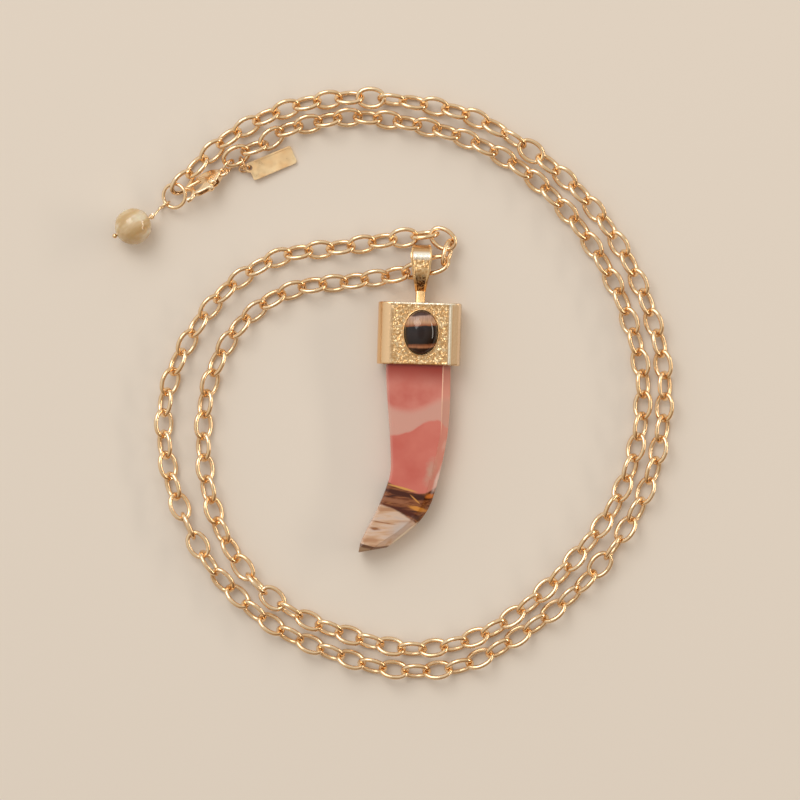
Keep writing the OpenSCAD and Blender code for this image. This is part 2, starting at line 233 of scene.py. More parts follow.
def added(name):
    """The piece that an operator has just added, with its turn and size put into its mesh."""
    piece = bpy.context.object
    piece.name = name
    bpy.ops.object.transform_apply(location=True, rotation=True, scale=True)
    return piece


def convert(piece, target="MESH"):
    """Turns a curve into a mesh, or a mesh of edges into a curve."""
    take(piece)
    bpy.ops.object.convert(target=target)
    return bpy.context.object


def oval_curve(name, half_long, half_wide, wire_r, corners, steps):
    """An oval of round wire as a curve, sizes in mm."""
    bpy.ops.curve.primitive_bezier_circle_add(radius=1)
    oval = bpy.context.object
    oval.name = name
    bpy.ops.object.mode_set(mode="EDIT")
    bpy.ops.curve.select_all(action="SELECT")
    bpy.ops.transform.resize(value=(half_long * MM, half_wide * MM, 1))
    leave_edit()
    oval.data.bevel_depth = wire_r * MM
    oval.data.bevel_resolution = corners
    oval.data.resolution_u = steps
    return oval


def place(piece, matrix):
    """Moves a piece and puts the move into its mesh."""
    take(piece)
    piece.matrix_world = matrix
    bpy.ops.object.transform_apply(location=True, rotation=True, scale=True)


def smooth(piece, angle):
    """Shades flat only across edges sharper than the angle."""
    take(piece)
    bpy.ops.object.shade_smooth_by_angle(angle=math.radians(angle))


def join(name, pieces):
    """Makes one piece of several."""
    take(*pieces)
    bpy.ops.object.join()
    joined = bpy.context.object
    joined.name = name
    joined.data.name = name
    return joined

# %% Helpers for the frame's solids
def finish_piece(piece, material, body="necklace", stands_for=()):
    """Gives a piece its material, its body and the solids that it stands for."""
    if material:
        piece.data.materials.clear()
        piece.data.materials.append(material)
    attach(piece, body)
    if stands_for:
        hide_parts(*stands_for)
    lo, hi = Vector(piece.bound_box[0]), Vector(piece.bound_box[6])
    print(f"{piece.name}: {len(piece.data.polygons)} faces, "
          f"{[round(v / MM, 1) for v in hi - lo]} mm")


def loose_parts(node):
    """Copies a node, merges its loose triangles and separates its solids."""
    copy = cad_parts[node].copy()
    copy.data = copy.data.copy()
    bpy.context.scene.collection.objects.link(copy)
    copy.parent = None
    copy.data.materials.clear()
    take(copy)
    pick_all()
    bpy.ops.mesh.remove_doubles(threshold=0.0005 * MM)
    bpy.ops.mesh.separate(type="LOOSE")
    leave_edit()
    return list(bpy.context.selected_objects)


def measured_frame(part):
    """The matrix of a solid's own frame: its middle, and its long, wide and thin ways as X, Y, Z.
    Each face counts by its area, so the fineness of the mesh doesn't matter."""
    faces = part.data.polygons
    centres = np.array([f.center for f in faces])
    areas = np.array([f.area for f in faces])
    middle = (centres * areas[:, None]).sum(0) / areas.sum()
    off = centres - middle
    ways = np.linalg.eigh((off * areas[:, None]).T @ off)[1]
    x, y = Vector(ways[:, 2]), Vector(ways[:, 1])
    matrix = Matrix((x, y, x.cross(y))).transposed().to_4x4()
    matrix.translation = Vector(middle)
    return matrix

# %% [markdown]
# ## Gold
# The chain, rings, clasp and tag are brass with a thin light gold plate, tumbled bright, which gives
# soft mirror-like lines with slight waves. Real gold is more orange; the pale plate has more silver
# in it. A metal's colour is its base colour alone, and one roughness for all of it would look
# printed. So three noises are mixed in: one lets the plate's colour drift over a few millimetres,
# one changes how rough the polish is, and one is a faint unevenness of the surface. The function
# takes the two colours, the roughness and the waves, because each part was tumbled differently.

# %% Gold materials
def gold(name, colour, deeper, rough, wave=0.02, wave_mm=0.7):
    """Plated metal: colour and deeper are the two plate colours that drift into each other."""
    material, tree, shader = new_material(name)
    at = add_node(tree, "TexCoord")
    in_mm = add_node(tree, "Mapping", {"Vector": at.outputs["Object"], "Scale": (1000,) * 3})
    drift = add_node(tree, "TexNoise", {"Vector": in_mm.outputs[0], "Scale": 0.22, "Detail": 2.0})
    mix = add_node(tree, "ValToRGB", {"Fac": drift.outputs["Fac"]},
                   stops=[(0.35, colour), (0.7, deeper)])
    wear = add_node(tree, "TexNoise", {"Vector": in_mm.outputs[0], "Scale": 0.8, "Detail": 4.0})
    rub = add_node(tree, "MapRange", {"Value": wear.outputs["Fac"], "From Min": 0.3,
                   "From Max": 0.7, "To Min": rough * 0.75, "To Max": rough * 1.35})
    ripple = add_node(tree, "TexNoise", {"Vector": in_mm.outputs[0], "Scale": 1 / wave_mm,
                      "Detail": 2.0})
    bump = add_node(tree, "Bump", {"Height": ripple.outputs["Fac"], "Strength": 1.0,
                    "Distance": wave * MM})
    tree.links.new(mix.outputs["Color"], shader.inputs["Base Color"])
    tree.links.new(rub.outputs["Result"], shader.inputs["Roughness"])
    tree.links.new(bump.outputs["Normal"], shader.inputs["Normal"])
    shader.inputs["Metallic"].default_value = 1.0
    return material


CHAIN_GOLD = gold("light_gold_plate_tumbled", "#F9DBB2", "#F4CF9E", 0.09, wave=0.012)
CLASP_GOLD = gold("light_gold_plate_clasp", "#FBDFB8", "#F6D2A2", 0.2, wave=0.004)
TAG_GOLD = gold("light_gold_plate_tag", "#FFE2B2", "#F4C48A", 0.34, wave=0.02, wave_mm=1.0)
POLISHED = gold("gold_plate_polished_cap", "#F2CC98", "#E9BC82", 0.2, wave=0.03, wave_mm=1.2)
print("gold:", [material.name for material in (CHAIN_GOLD, CLASP_GOLD, TAG_GOLD, POLISHED)])

# %% [markdown]
# ## The chain
# A cable chain's link is a piece of round wire bent to an oval and closed. It could be a stretched
# ring, but stretching a torus flattens its wire. A circle curve that is scaled to an oval and then
# given a round bevel keeps the wire round all the way, so that is used. The link is modelled once
# and copied: each solid link of the frame is measured, and a copy is laid in its place.

# %% Model one link
# The solids have 0.9 mm wire; the wire measures nearer 1 mm in the picture, so it is drawn so here
LINK_LONG, LINK_WIDE, LINK_WIRE = 6.8, 5.0, 1.0
LINK_CORNERS, LINK_STEPS = 2, 6
SQUARER = 1.09

link = oval_curve("link", (LINK_LONG - LINK_WIRE) / 2, (LINK_WIDE - LINK_WIRE) / 2, LINK_WIRE / 2,
                  LINK_CORNERS, LINK_STEPS)
for point in link.data.splines[0].bezier_points:
    point.handle_left = point.co + (point.handle_left - point.co) * SQUARER
    point.handle_right = point.co + (point.handle_right - point.co) * SQUARER
link = convert(link)
smooth(link, 80)
print("link:", len(link.data.polygons), "faces", [round(v / MM, 2) for v in link.dimensions])

# %% [markdown]
# ## Laying the links
# Each link of the frame lies in its own way, and the frame gives no list of places. The place can
# be read off the solid itself: its middle, and the three ways in which its surface spreads most,
# next and least, are the middle, length, width and thickness of the oval. A copy of the link is put
# there with its own mesh, and all copies of a strand are joined.

# %% Lay the links
def lay_links(node, name):
    """Lays a copy of the link on each solid link of a node, and joins them to one strand."""
    laid = []
    parts = loose_parts(node)
    for part in parts:
        copy = link.copy()
        copy.data = link.data.copy()
        bpy.context.scene.collection.objects.link(copy)
        copy.data.transform(measured_frame(part))
        laid.append(copy)
    for part in parts:
        bpy.data.objects.remove(part)
    finish_piece(join(name, laid), CHAIN_GOLD, stands_for=[node])
    print(name, "links:", len(laid))


lay_links("chain_outer", "outer_chain_links")
lay_links("chain_inner", "inner_chain_links")
bpy.data.objects.remove(link)

# %% [markdown]
# ## The rings
# A jump ring is one turn of wire whose ends meet at a fine saw cut. A torus has no cut, so the ring
# is spun: a small circle goes round almost the whole way and both ends are closed.

# %% Spin the rings
SAW_CUT = 0.05


def cut_ring(name, outer, wire, steps, sides):
    """A ring of round wire with its saw cut, lying flat at the origin."""
    round_r = (outer - wire) / 2
    bpy.ops.mesh.primitive_circle_add(vertices=sides, radius=wire / 2 * MM, fill_type="NOTHING",
                                      location=(round_r * MM, 0, 0), rotation=(math.pi / 2, 0, 0))
    ring = added(name)
    pick_all()
    bpy.ops.mesh.spin(steps=steps, angle=2 * math.pi - SAW_CUT / round_r, center=(0, 0, 0),
                      axis=(0, 0, 1))
    close_ends()
    return ring


RINGS = [
    # name, solid, outer diameter, wire, steps round, sides of the wire
    ("jump_ring_wire", "jump_ring", 6.0, 0.8, 60, 16),
    ("clasp_ring_wire", "clasp_ring", 4.0, 0.6, 44, 12),
    ("tag_ring_upper_wire", "tag_ring_upper", 3.25, 0.45, 36, 10),
    ("tag_ring_lower_wire", "tag_ring_lower", 2.7, 0.4, 36, 10),
]
for name, node, outer, wire, steps, sides in RINGS:
    ring = cut_ring(name, outer, wire, steps, sides)
    part = loose_parts(node)[0]
    place(ring, measured_frame(part))
    bpy.data.objects.remove(part)
    smooth(ring, 60)
    finish_piece(ring, CHAIN_GOLD, stands_for=[node])

# %% [markdown]
# ## The pendant's own frame
# The pendant lies turned by 1.7 degrees. It is easier to model it square and turn it at the end, so
# every pendant piece is modelled with the middle of the cap's back at the origin, and then this
# matrix puts it in place. Its materials undo the same turn, so their patterns are drawn in
# millimetres along and across the tusk.

# %% The pendant's frame
def moved(at):
    """The matrix of a move, in mm."""
    return Matrix.Translation(Vector(at) * MM)


def turned(degrees, axis):
    """The matrix of a turn about X, Y or Z."""
    return Matrix.Rotation(math.radians(degrees), 4, axis)


PENDANT_AT = (5.58, 10.79, 0)
PENDANT_TURN = -1.7
TO_PENDANT = moved(PENDANT_AT) @ turned(PENDANT_TURN, "Z")


def pendant_mm(tree):
    """Object coordinates turned back into the pendant's own frame, in millimetres."""
    at = add_node(tree, "TexCoord")
    return add_node(tree, "Mapping", {
        "Vector": at.outputs["Object"], "Location": metres(*PENDANT_AT),
        "Rotation": (0, 0, math.radians(PENDANT_TURN)), "Scale": (MM,) * 3}, vector_type="TEXTURE")


print("pendant at", PENDANT_AT, "mm, turned by", PENDANT_TURN, "degrees")

# %% [markdown]
# ## The cap's metal
# The cap is cast brass with a thin gold plate. Its face is blasted with coarse grit, which leaves
# tiny facets that glint one by one, and its flanks, rims and the crest of the loop are rubbed
# smooth. A bump of noise gives round worms in place of facets, so cells are used: each cell leans
# the surface its own way. Real grit marks are near 0.1 mm; they are drawn at 0.2 mm, one dot of the
# picture, because finer ones would melt into a haze. The grain, the painted highlights on the rims,
# the right flank and the loop's crest, the painted shade above the crest, and the dark polish left in
# the pits are each masked by their place in the pendant's own frame.

# %% Sanded gold of the cap and bail
GRAIN_LEFT, GRAIN_RIGHT = -6.1, 6.35
GRAIN_MM, TILT = 0.21, 0.38
PITS_Y = (9.0, 12.9)
CREST_Y = 16.2
LOOP_Y = (15.5, 20.0)
RIM_X, RIM_Y, RIM_FRONT = (6.4, 7.1), (6.4, 6.85), 7.1

SANDED, tree, shader = new_material("gold_plate_sanded_cast")
at_mm = pendant_mm(tree)
apart = add_node(tree, "SeparateXYZ", {"Vector": at_mm.outputs[0]})
fade_in = add_node(tree, "MapRange", {"Value": apart.outputs["X"], "From Min": GRAIN_LEFT - 0.3,
                   "From Max": GRAIN_LEFT + 0.5, "To Min": 0.0, "To Max": 1.0})
fade_out = add_node(tree, "MapRange", {"Value": apart.outputs["X"], "From Min": GRAIN_RIGHT - 0.3,
                    "From Max": GRAIN_RIGHT, "To Min": 1.0, "To Max": 0.0})
across = add_node(tree, "Math", {0: fade_in.outputs[0], 1: fade_out.outputs[0]},
                  operation="MULTIPLY")
# The crest of the loop is rubbed smooth by the chain
worn = add_node(tree, "MapRange", {"Value": apart.outputs["Y"], "From Min": CREST_Y - 0.5,
                "From Max": CREST_Y + 0.5, "To Min": 1.0, "To Max": 0.0})
mask = add_node(tree, "Math", {0: across.outputs[0], 1: worn.outputs[0]}, operation="MULTIPLY")
# Each grain is a small facet that leans its own way
grains = add_node(tree, "TexVoronoi", {"Vector": at_mm.outputs[0], "Scale": 1 / GRAIN_MM},
                  feature="F1")
lean = add_node(tree, "VectorMath", {0: grains.outputs["Color"], 1: (0.5, 0.5, 0.5)},
                operation="SUBTRACT")
how_far = add_node(tree, "Math", {0: mask.outputs[0], 1: TILT}, operation="MULTIPLY")
leaning = add_node(tree, "VectorMath", {0: lean.outputs[0], "Scale": how_far.outputs[0]},
                   operation="SCALE")
surface = add_node(tree, "NewGeometry")
facets = add_node(tree, "VectorMath", {0: surface.outputs["Normal"], 1: leaning.outputs[0]})
facing = add_node(tree, "VectorMath", {0: facets.outputs[0]}, operation="NORMALIZE")
grit = add_node(tree, "TexNoise", {"Vector": at_mm.outputs[0], "Scale": 1.6, "Detail": 3.0})
bump = add_node(tree, "Bump", {"Height": grit.outputs["Fac"], "Normal": facing.outputs[0],
                "Strength": 1.0, "Distance": 0.03 * MM})
plate = add_node(tree, "ValToRGB", {"Fac": grit.outputs["Fac"]},
                 stops=[(0.36, "#D5A46C"), (0.5, "#E4BA84"), (0.64, "#F2D4A6")])
# Painted highlight and shade up the loop: a near-white band where the crest would mirror the window, and
# darker gold above it
up_the_loop = add_node(tree, "MapRange", {"Value": apart.outputs["Y"], "From Min": LOOP_Y[0],
                       "From Max": LOOP_Y[1]})
painted_crest_light = add_node(tree, "ValToRGB", {"Fac": up_the_loop.outputs[0]}, stops=[
    (0.0, "#F2CA9A"), (0.08, "#F2CA9A"), (0.14, "#FFF4DE"), (0.44, "#FFF4DE"), (0.56, "#D9AE7C"),
    (1.0, "#C99C68")])
plate_and_painted_crest = add_node(tree, "Mix", {0: mask.outputs[0], 6: painted_crest_light.outputs["Color"],
                        7: plate.outputs["Color"]}, data_type="RGBA")
# Dark polish left in the pits at the foot of the loop
pit_rise = add_node(tree, "MapRange", {"Value": apart.outputs["Y"], "From Min": PITS_Y[0] - 0.3,
                    "From Max": PITS_Y[0] + 0.3})
pit_fall = add_node(tree, "MapRange", {"Value": apart.outputs["Y"], "From Min": PITS_Y[1] - 1.0,
                    "From Max": PITS_Y[1] + 0.4, "To Min": 1.0, "To Max": 0.0})
pit_zone = add_node(tree, "Math", {0: pit_rise.outputs[0], 1: pit_fall.outputs[0]},
                    operation="MULTIPLY")
pit_cells = add_node(tree, "SeparateXYZ", {"Vector": grains.outputs["Color"]})
pit_depth = add_node(tree, "MapRange", {"Value": pit_cells.outputs["X"], "From Min": 0.3,
                     "From Max": 0.6, "To Min": 0.35, "To Max": 1.0})
pits = add_node(tree, "Math", {0: pit_zone.outputs[0], 1: pit_depth.outputs[0]},
                operation="MULTIPLY")
pitted = add_node(tree, "Mix", {0: pits.outputs[0], 6: plate_and_painted_crest.outputs[2],
                  7: linear("#3C1C0C")}, data_type="RGBA")
rub = add_node(tree, "MapRange", {"Value": mask.outputs[0], "To Min": 0.2, "To Max": 0.3})
# Painted highlights: the rims at the panel's right and top are painted pale
rim_right = add_node(tree, "Math", {0: apart.outputs["X"], 1: (RIM_X[0] + RIM_X[1]) / 2,
                     2: (RIM_X[1] - RIM_X[0]) / 2}, operation="COMPARE")
rim_top = add_node(tree, "Math", {0: apart.outputs["Y"], 1: (RIM_Y[0] + RIM_Y[1]) / 2,
                   2: (RIM_Y[1] - RIM_Y[0]) / 2}, operation="COMPARE")
rim_part = add_node(tree, "Math", {0: rim_top.outputs[0], 1: fade_in.outputs[0]},
                    operation="MULTIPLY")
both = add_node(tree, "Math", {0: rim_right.outputs[0], 1: rim_part.outputs[0]},
                operation="MAXIMUM")
in_front = add_node(tree, "MapRange", {"Value": apart.outputs["Z"], "From Min": RIM_FRONT - 0.2,
                    "From Max": RIM_FRONT})
rims = add_node(tree, "Math", {0: both.outputs[0], 1: in_front.outputs[0]}, operation="MULTIPLY")
# Painted light on the flank on the right, a third as pale as the rim highlights
flank = add_node(tree, "MapRange", {"Value": apart.outputs["X"], "From Min": RIM_X[1],
                 "From Max": RIM_X[1] + 0.3, "To Min": 0.0, "To Max": 0.33})
painted_rim_light = add_node(tree, "Math", {0: rims.outputs[0], 1: flank.outputs[0]},
                       operation="MAXIMUM")
rims_with_painted_light = add_node(tree, "Mix", {0: painted_rim_light.outputs[0], 6: pitted.outputs[2],
                     7: linear("#FFF1D6")}, data_type="RGBA")
tree.links.new(rims_with_painted_light.outputs[2], shader.inputs["Base Color"])
tree.links.new(rub.outputs[0], shader.inputs["Roughness"])
tree.links.new(bump.outputs["Normal"], shader.inputs["Normal"])
shader.inputs["Metallic"].default_value = 1.0
print("grains of", GRAIN_MM, "mm")

# %% [markdown]
# ## The cap
# The cap is a short box of metal, rounded at its left and back edges, with a crisp crease and a
# narrow slanting flank on the right. A cube with bevelled edges gives this directly, and each bevel
# is one pick of edges by place. Two cuts a short way apart make the narrow slope between the sunk
# sanded panel and its rims. The tusk's socket is cut into the lower end, as in the solid.

# %% Helpers for shaping in edit mode
# Places nearer to each other than this, in mm, count as the same
NEAR = 0.01


def pick(piece, kind, test):
    """In edit mode: selects only the points, edges or faces whose middle passes the test."""
    bpy.ops.object.mode_set(mode="EDIT")
    bpy.ops.mesh.select_mode(type={"point": "VERT", "edge": "EDGE", "face": "FACE"}[kind])
    bpy.ops.mesh.select_all(action="DESELECT")
    bpy.ops.object.mode_set(mode="OBJECT")
    points = [v.co / MM for v in piece.data.vertices]
    if kind == "point":
        chosen = [v for v in piece.data.vertices if test(points[v.index])]
    elif kind == "edge":
        chosen = [e for e in piece.data.edges
                  if test((points[e.vertices[0]] + points[e.vertices[1]]) / 2,
                          (points[e.vertices[1]] - points[e.vertices[0]]).normalized())]
    else:
        chosen = [f for f in piece.data.polygons if test(f.center / MM, f.normal)]
    for item in chosen:
        item.select = True
    bpy.ops.object.mode_set(mode="EDIT")
    return len(chosen)


def draw_out(way):
    """In edit mode: extrudes what is picked by a way in metres."""
    bpy.ops.mesh.extrude_region_move(TRANSFORM_OT_translate={"value": way})


def shift(way):
    """In edit mode: moves what is picked by a way in metres."""
    bpy.ops.transform.translate(value=way)


def bevel_picked(offset, segments, **settings):
    """In edit mode: bevels the picked edges, with the offset in mm."""
    bpy.ops.mesh.bevel(offset=offset * MM, segments=segments, affect="EDGES", **settings)


def slice_all(at, way, **settings):
    """Cuts the active piece along a plane through a place in mm, and stays in edit mode."""
    pick_all()
    bpy.ops.mesh.bisect(plane_co=metres(*at), plane_no=way, **settings)


def soften(piece, width, segments, angle=50):
    """Rounds every edge that is sharper than the angle, with the width in mm."""
    modify(piece, "BEVEL", width=width * MM, segments=segments, limit_method="ANGLE",
           angle_limit=math.radians(angle))


def cut(piece, tool, operation="DIFFERENCE"):
    """Cuts a piece with a tool, which is used up."""
    modify(piece, "BOOLEAN", operation=operation, object=tool, solver="EXACT")
    bpy.data.objects.remove(tool)


def block(name, middle, size):
    """A box with its middle and its size in mm."""
    leave_edit()
    bpy.ops.mesh.primitive_cube_add(size=1, location=metres(*middle), scale=metres(*size))
    return added(name)


def smooth_cast(piece, angle):
    """Shades smoothly, and large faces stay flat up to their rounded edges."""
    smooth(piece, angle)
    modify(piece, "WEIGHTED_NORMAL", keep_sharp=True)

# %% Model the cap
CAP_W, CAP_H, CAP_T = 18.2, 13.6, 7.4
CAP_ROUND, CREASE = 3.2, 2.3
SOCKET_W, SOCKET_DEPTH, TUSK_T = 14.2, 10.4, 5.6
FIT = 0.12
PANEL_RIGHT, PANEL_END, PANEL_SLOPE, PANEL_DROP = 6.2, 6.3, 0.5, 0.15

cap = block("cast_cap", (0, 0, CAP_T / 2), (CAP_W, CAP_H, CAP_T))


def long_edge(x_side, z_side):
    """A test for the cap's edge along Y on one side, at its front or its back."""
    return lambda middle, way: (abs(way.y) > 0.99 and middle.x * x_side > CAP_W / 2 - NEAR
                                and (middle.z - CAP_T / 2) * z_side > CAP_T / 2 - NEAR)


for x_side, z_side, offset, segments in ((-1, 1, CAP_ROUND, 9), (-1, -1, CAP_ROUND, 9),
                                         (1, -1, CAP_ROUND, 9), (1, 1, CREASE, 2)):
    pick(cap, "edge", long_edge(x_side, z_side))
    bevel_picked(offset, segments)

# The sanded panel lies a little lower than the rims at its top, right and bottom
for x in (PANEL_RIGHT, PANEL_RIGHT + PANEL_SLOPE):
    slice_all((x, 0, 0), (1, 0, 0))
for y in (PANEL_END, PANEL_END - PANEL_SLOPE, -PANEL_END, PANEL_SLOPE - PANEL_END):
    slice_all((0, y, 0), (0, 1, 0))
pick(cap, "point", lambda p: p.z > CAP_T - NEAR and abs(p.y) < PANEL_END - PANEL_SLOPE + NEAR
     and -CAP_W / 2 + CAP_ROUND + 0.1 < p.x < PANEL_RIGHT + NEAR)
shift((0, 0, -PANEL_DROP * MM))

# The socket in the lower end, and soft edges round both ends
cut(cap, block("socket", (0, -CAP_H / 2 + SOCKET_DEPTH / 2 - 0.5, CAP_T / 2),
               (SOCKET_W + 2 * FIT, SOCKET_DEPTH + 1, TUSK_T + 2 * FIT)))
soften(cap, 0.28, 3)
print("cap:", len(cap.data.polygons), "faces")

# %% [markdown]
# ## The bail
# The loop that the chain runs through is an upright egg of metal band. It starts as an open drum on
# its side, is stretched upwards, and is then drawn in row by row so that it tapers towards the
# neck. The rims stand proud: the band's middle is inset and pressed in before it gets its wall. The
# pressed part takes the sanded metal as the mesh's second material, and the rims stay polished.

# %% Model the bail
BAIL_HIGH_R, BAIL_LOW_R = 3.4, 3.8
BAIL_LOW_Y, BAIL_HIGH_Y = 13.0, 16.2
BAIL_RISE = BAIL_HIGH_Y - BAIL_LOW_Y
BAIL_WALL, BAIL_RIM, BAIL_SLOPE, BAIL_PRESSED = 0.7, 0.42, 0.08, 0.1
BAIL_SIDES, BAIL_SLICES = 56, 6
# Height above the cap's middle, half width seen from the front, half depth seen from the side
BAIL_ROWS = [
    (9.2, 1.12, 0.95), (9.9, 1.25, 1.5), (10.5, 1.35, 2.0), (11.5, 1.55, 2.7), (12.3, 1.72, 3.05),
    (13.3, 1.88, 3.3), (15, 2.15, 3.4), (17, 2.35, 3.4), (18.8, 2.2, 3.4), (19.6, 1.8, 3.4)]

bpy.ops.mesh.primitive_cylinder_add(vertices=BAIL_SIDES, radius=BAIL_HIGH_R * MM, depth=2 * MM,
                                    end_fill_type="NOTHING", rotation=(0, math.pi / 2, 0))
bail = added("bail_loop")
pick_all()
bpy.ops.transform.rotate(value=math.pi / BAIL_SIDES, orient_axis="X", center_override=(0, 0, 0))
pick(bail, "point", lambda p: p.y < 0)
bpy.ops.transform.resize(value=(1, BAIL_LOW_R / BAIL_HIGH_R, 1), center_override=(0, 0, 0))
pick_all()
shift(metres(0, BAIL_LOW_Y, CAP_T / 2))
pick(bail, "point", lambda p: p.y > BAIL_LOW_Y)
shift((0, BAIL_RISE * MM, 0))
for k in range(1, BAIL_SLICES):
    slice_all((0, BAIL_LOW_Y + k * BAIL_RISE / BAIL_SLICES, 0), (0, 1, 0))
leave_edit()


def row_at(y):
    """The band's half width and half depth at a height, read off the rows."""
    for (y0, *low), (y1, *high) in zip(BAIL_ROWS, BAIL_ROWS[1:]):
        if y <= y1:
            share = max(0.0, y - y0) / (y1 - y0)
            return [a + (b - a) * share for a, b in zip(low, high)]
    return BAIL_ROWS[-1][1:]


for y in sorted({round(v.co.y / MM, 2) for v in bail.data.vertices}):
    wide, deep = row_at(y)
    now = max(abs(v.co.z / MM - CAP_T / 2) for v in bail.data.vertices if abs(v.co.y / MM - y) < NEAR)
    pick(bail, "point", lambda p: abs(p.y - y) < NEAR)
    bpy.ops.transform.resize(value=(wide, 1, deep / now if y < BAIL_LOW_Y else 1),
                             center_override=(0, 0, CAP_T / 2 * MM))
    leave_edit()
print("bail:", len(bail.data.vertices), "points before its wall")

# %% Press the bail and give it its wall
NECK_UP, NECK_SIZE, NECK_RAISED, NECK_ROUND = 1.05, (2.1, 2.9, 2.5), 0.8, 0.45

for material in (POLISHED, SANDED):
    bail.data.materials.append(material)
turn_outwards()
pick_all()
bpy.ops.mesh.select_mode(type="FACE")
bpy.ops.mesh.inset(thickness=BAIL_RIM * MM, use_boundary=True)
bpy.ops.mesh.inset(thickness=BAIL_SLOPE * MM, depth=-BAIL_PRESSED * MM, use_boundary=True)
bail.active_material_index = 1
bpy.ops.object.material_slot_assign()
modify(bail, "SOLIDIFY", thickness=BAIL_WALL * MM, offset=-1)
soften(bail, 0.1, 2)

# The neck between the cap and the loop, drawn out towards the loop
neck = block("neck", (0, CAP_H / 2 + NECK_UP, CAP_T / 2), NECK_SIZE)
pick(neck, "point", lambda p: p.y < CAP_H / 2 and p.z > CAP_T / 2)
shift((0, 0, NECK_RAISED * MM))
pick(neck, "edge", lambda middle, way: abs(way.y) > 0.9)
bevel_picked(NECK_ROUND, 4)
leave_edit()
print("bail and neck:", len(bail.data.polygons), "and", len(neck.data.polygons), "faces")

# %% [markdown]
# ## The bezel
# A thin wall of metal is pushed over the stone's edge. An oval curve that is drawn up a little and
# bevelled gives the wall its rounded top.

# %% Model the bezel and join the casting
STONE_AT = (0.38, 0.2)
STONE_W, STONE_H, STONE_T = 7.3, 9.6, 3.0
BEZEL_R, BEZEL_HALF = 0.15, 0.35

bezel = oval_curve("bezel", STONE_W / 2 + BEZEL_R, STONE_H / 2 + BEZEL_R, BEZEL_R, 3, 20)
bezel.data.extrude = BEZEL_HALF * MM
bezel = convert(bezel)
place(bezel, moved((*STONE_AT, CAP_T + 0.25)))
for part, material in ((cap, SANDED), (neck, POLISHED), (bezel, POLISHED)):
    part.data.materials.clear()
    part.data.materials.append(material)
casting = join("cast_cap_and_bail", [bezel, neck, bail, cap])
place(casting, TO_PENDANT)
smooth_cast(casting, 40)
finish_piece(casting, None, stands_for=["cap"])

# %% [markdown]
# ## The cabochon
# The oval stone is tiger's eye cut as a dome: silky bands of brown that run across it, under a
# glassy polish. A sphere is flattened to the dome, its lower half is cut off, and the cut edge is
# drawn down to a short straight girdle. The bands are a colour ramp along the stone, bent by a
# little noise.

# %% Model the cabochon
GIRDLE = 0.5

bpy.ops.mesh.primitive_uv_sphere_add(segments=64, ring_count=32, radius=1 * MM)
stone = added("cabochon_dome")
pick_all()
bpy.ops.transform.resize(value=(STONE_W / 2, STONE_H / 2, STONE_T - GIRDLE))
slice_all((0, 0, 0), (0, 0, 1), clear_inner=True, use_fill=True)
pick(stone, "face", lambda middle, normal: normal.z < -0.9)
draw_out((0, 0, -GIRDLE * MM))
place(stone, TO_PENDANT @ moved((*STONE_AT, CAP_T + 0.1 + GIRDLE)))
smooth(stone, 40)
print("cabochon:", len(stone.data.polygons), "faces")

# %% Tiger's eye
STRIPES_FROM, STRIPES_TO = -4.15, 5.85

TIGER, tree, shader = new_material("tigers_eye_polished")
at_mm = pendant_mm(tree)
warp = add_node(tree, "TexNoise", {"Vector": at_mm.outputs[0], "Scale": 0.35, "Detail": 2.0})
slope = add_node(tree, "VectorMath", {0: at_mm.outputs[0], 1: (-0.07, 1.0, 0.0)},
                 operation="DOT_PRODUCT")
bent = add_node(tree, "Math", {0: warp.outputs["Fac"], 1: 0.9, 2: slope.outputs["Value"]},
                operation="MULTIPLY_ADD")
along = add_node(tree, "MapRange", {"Value": bent.outputs[0], "From Min": STRIPES_FROM,
                 "From Max": STRIPES_TO})
# The pale band in the stone's upper part is its own pale stripe with a painted reflection of the window
# in its colour
bands = add_node(tree, "ValToRGB", {"Fac": along.outputs[0]}, stops=[
    (0.0, "#2C1A12"), (0.13, "#3A241A"), (0.16, "#B87C58"), (0.205, "#8A5234"), (0.24, "#1A0E0A"),
    (0.45, "#26160F"), (0.605, "#1A0E0A"), (0.635, "#9A5C38"), (0.7, "#BC9270"), (0.83, "#B09080"),
    (0.86, "#4A3028"), (1.0, "#2E1C16")])
silk_at = add_node(tree, "Mapping", {"Vector": at_mm.outputs[0], "Scale": (6.0, 0.5, 1.0)})
silk = add_node(tree, "TexNoise", {"Vector": silk_at.outputs[0], "Scale": 1.0, "Detail": 4.0})
shine = add_node(tree, "MapRange", {"Value": silk.outputs["Fac"], "From Min": 0.3,
                 "From Max": 0.7, "To Min": 0.75, "To Max": 1.2})
silky = add_node(tree, "VectorMath", {0: bands.outputs["Color"], "Scale": shine.outputs[0]},
                 operation="SCALE")
tree.links.new(silky.outputs[0], shader.inputs["Base Color"])
shader.inputs["Roughness"].default_value = 0.06
shader.inputs["IOR"].default_value = 1.54
shader.inputs["Specular IOR Level"].default_value = 0.4
finish_piece(stone, TIGER, stands_for=["cabochon"])

# %% [markdown]
# ## The tusk
# The tusk is a slab of glass-like banded stone, sawn to a curved taper, with a crisp bevel ground
# along its right edge and a small one on its cut end. It is drawn as one long strip: an edge is
# extruded from section to section down the table, then the strip is extruded to its thickness and
# its long edges are bevelled. A smooth curve through the table's rows keeps the outline free of
# corners, which a plain row of straight cuts would show.

# %% Model the tusk
SECTIONS = [
    # left x, left y, right x, right y, in mm, from the socket to the cut tip
    (-7.1, 3.4, 7.1, 3.4), (-7.1, -6.6, 7.1, -6.6), (-6.95, -10, 7.15, -10),
    (-6.45, -15.8, 7.2, -15.6), (-5.95, -20.7, 6.95, -20.9), (-5.55, -25.5, 6.35, -25.4),
    (-5.4, -29.5, 5.5, -29.9), (-5.85, -32.4, 4.65, -33.6), (-7.2, -36.4, 3.4, -37.6),
    (-8.7, -39.9, 1.2, -41.1), (-10.25, -43.1, -2.2, -44.3), (-11.55, -46.1, -5, -46.4),
    (-11.85, -48.1, -5.7, -46.9),
]
STEPS = 4
TUSK_BACK = (CAP_T - TUSK_T) / 2


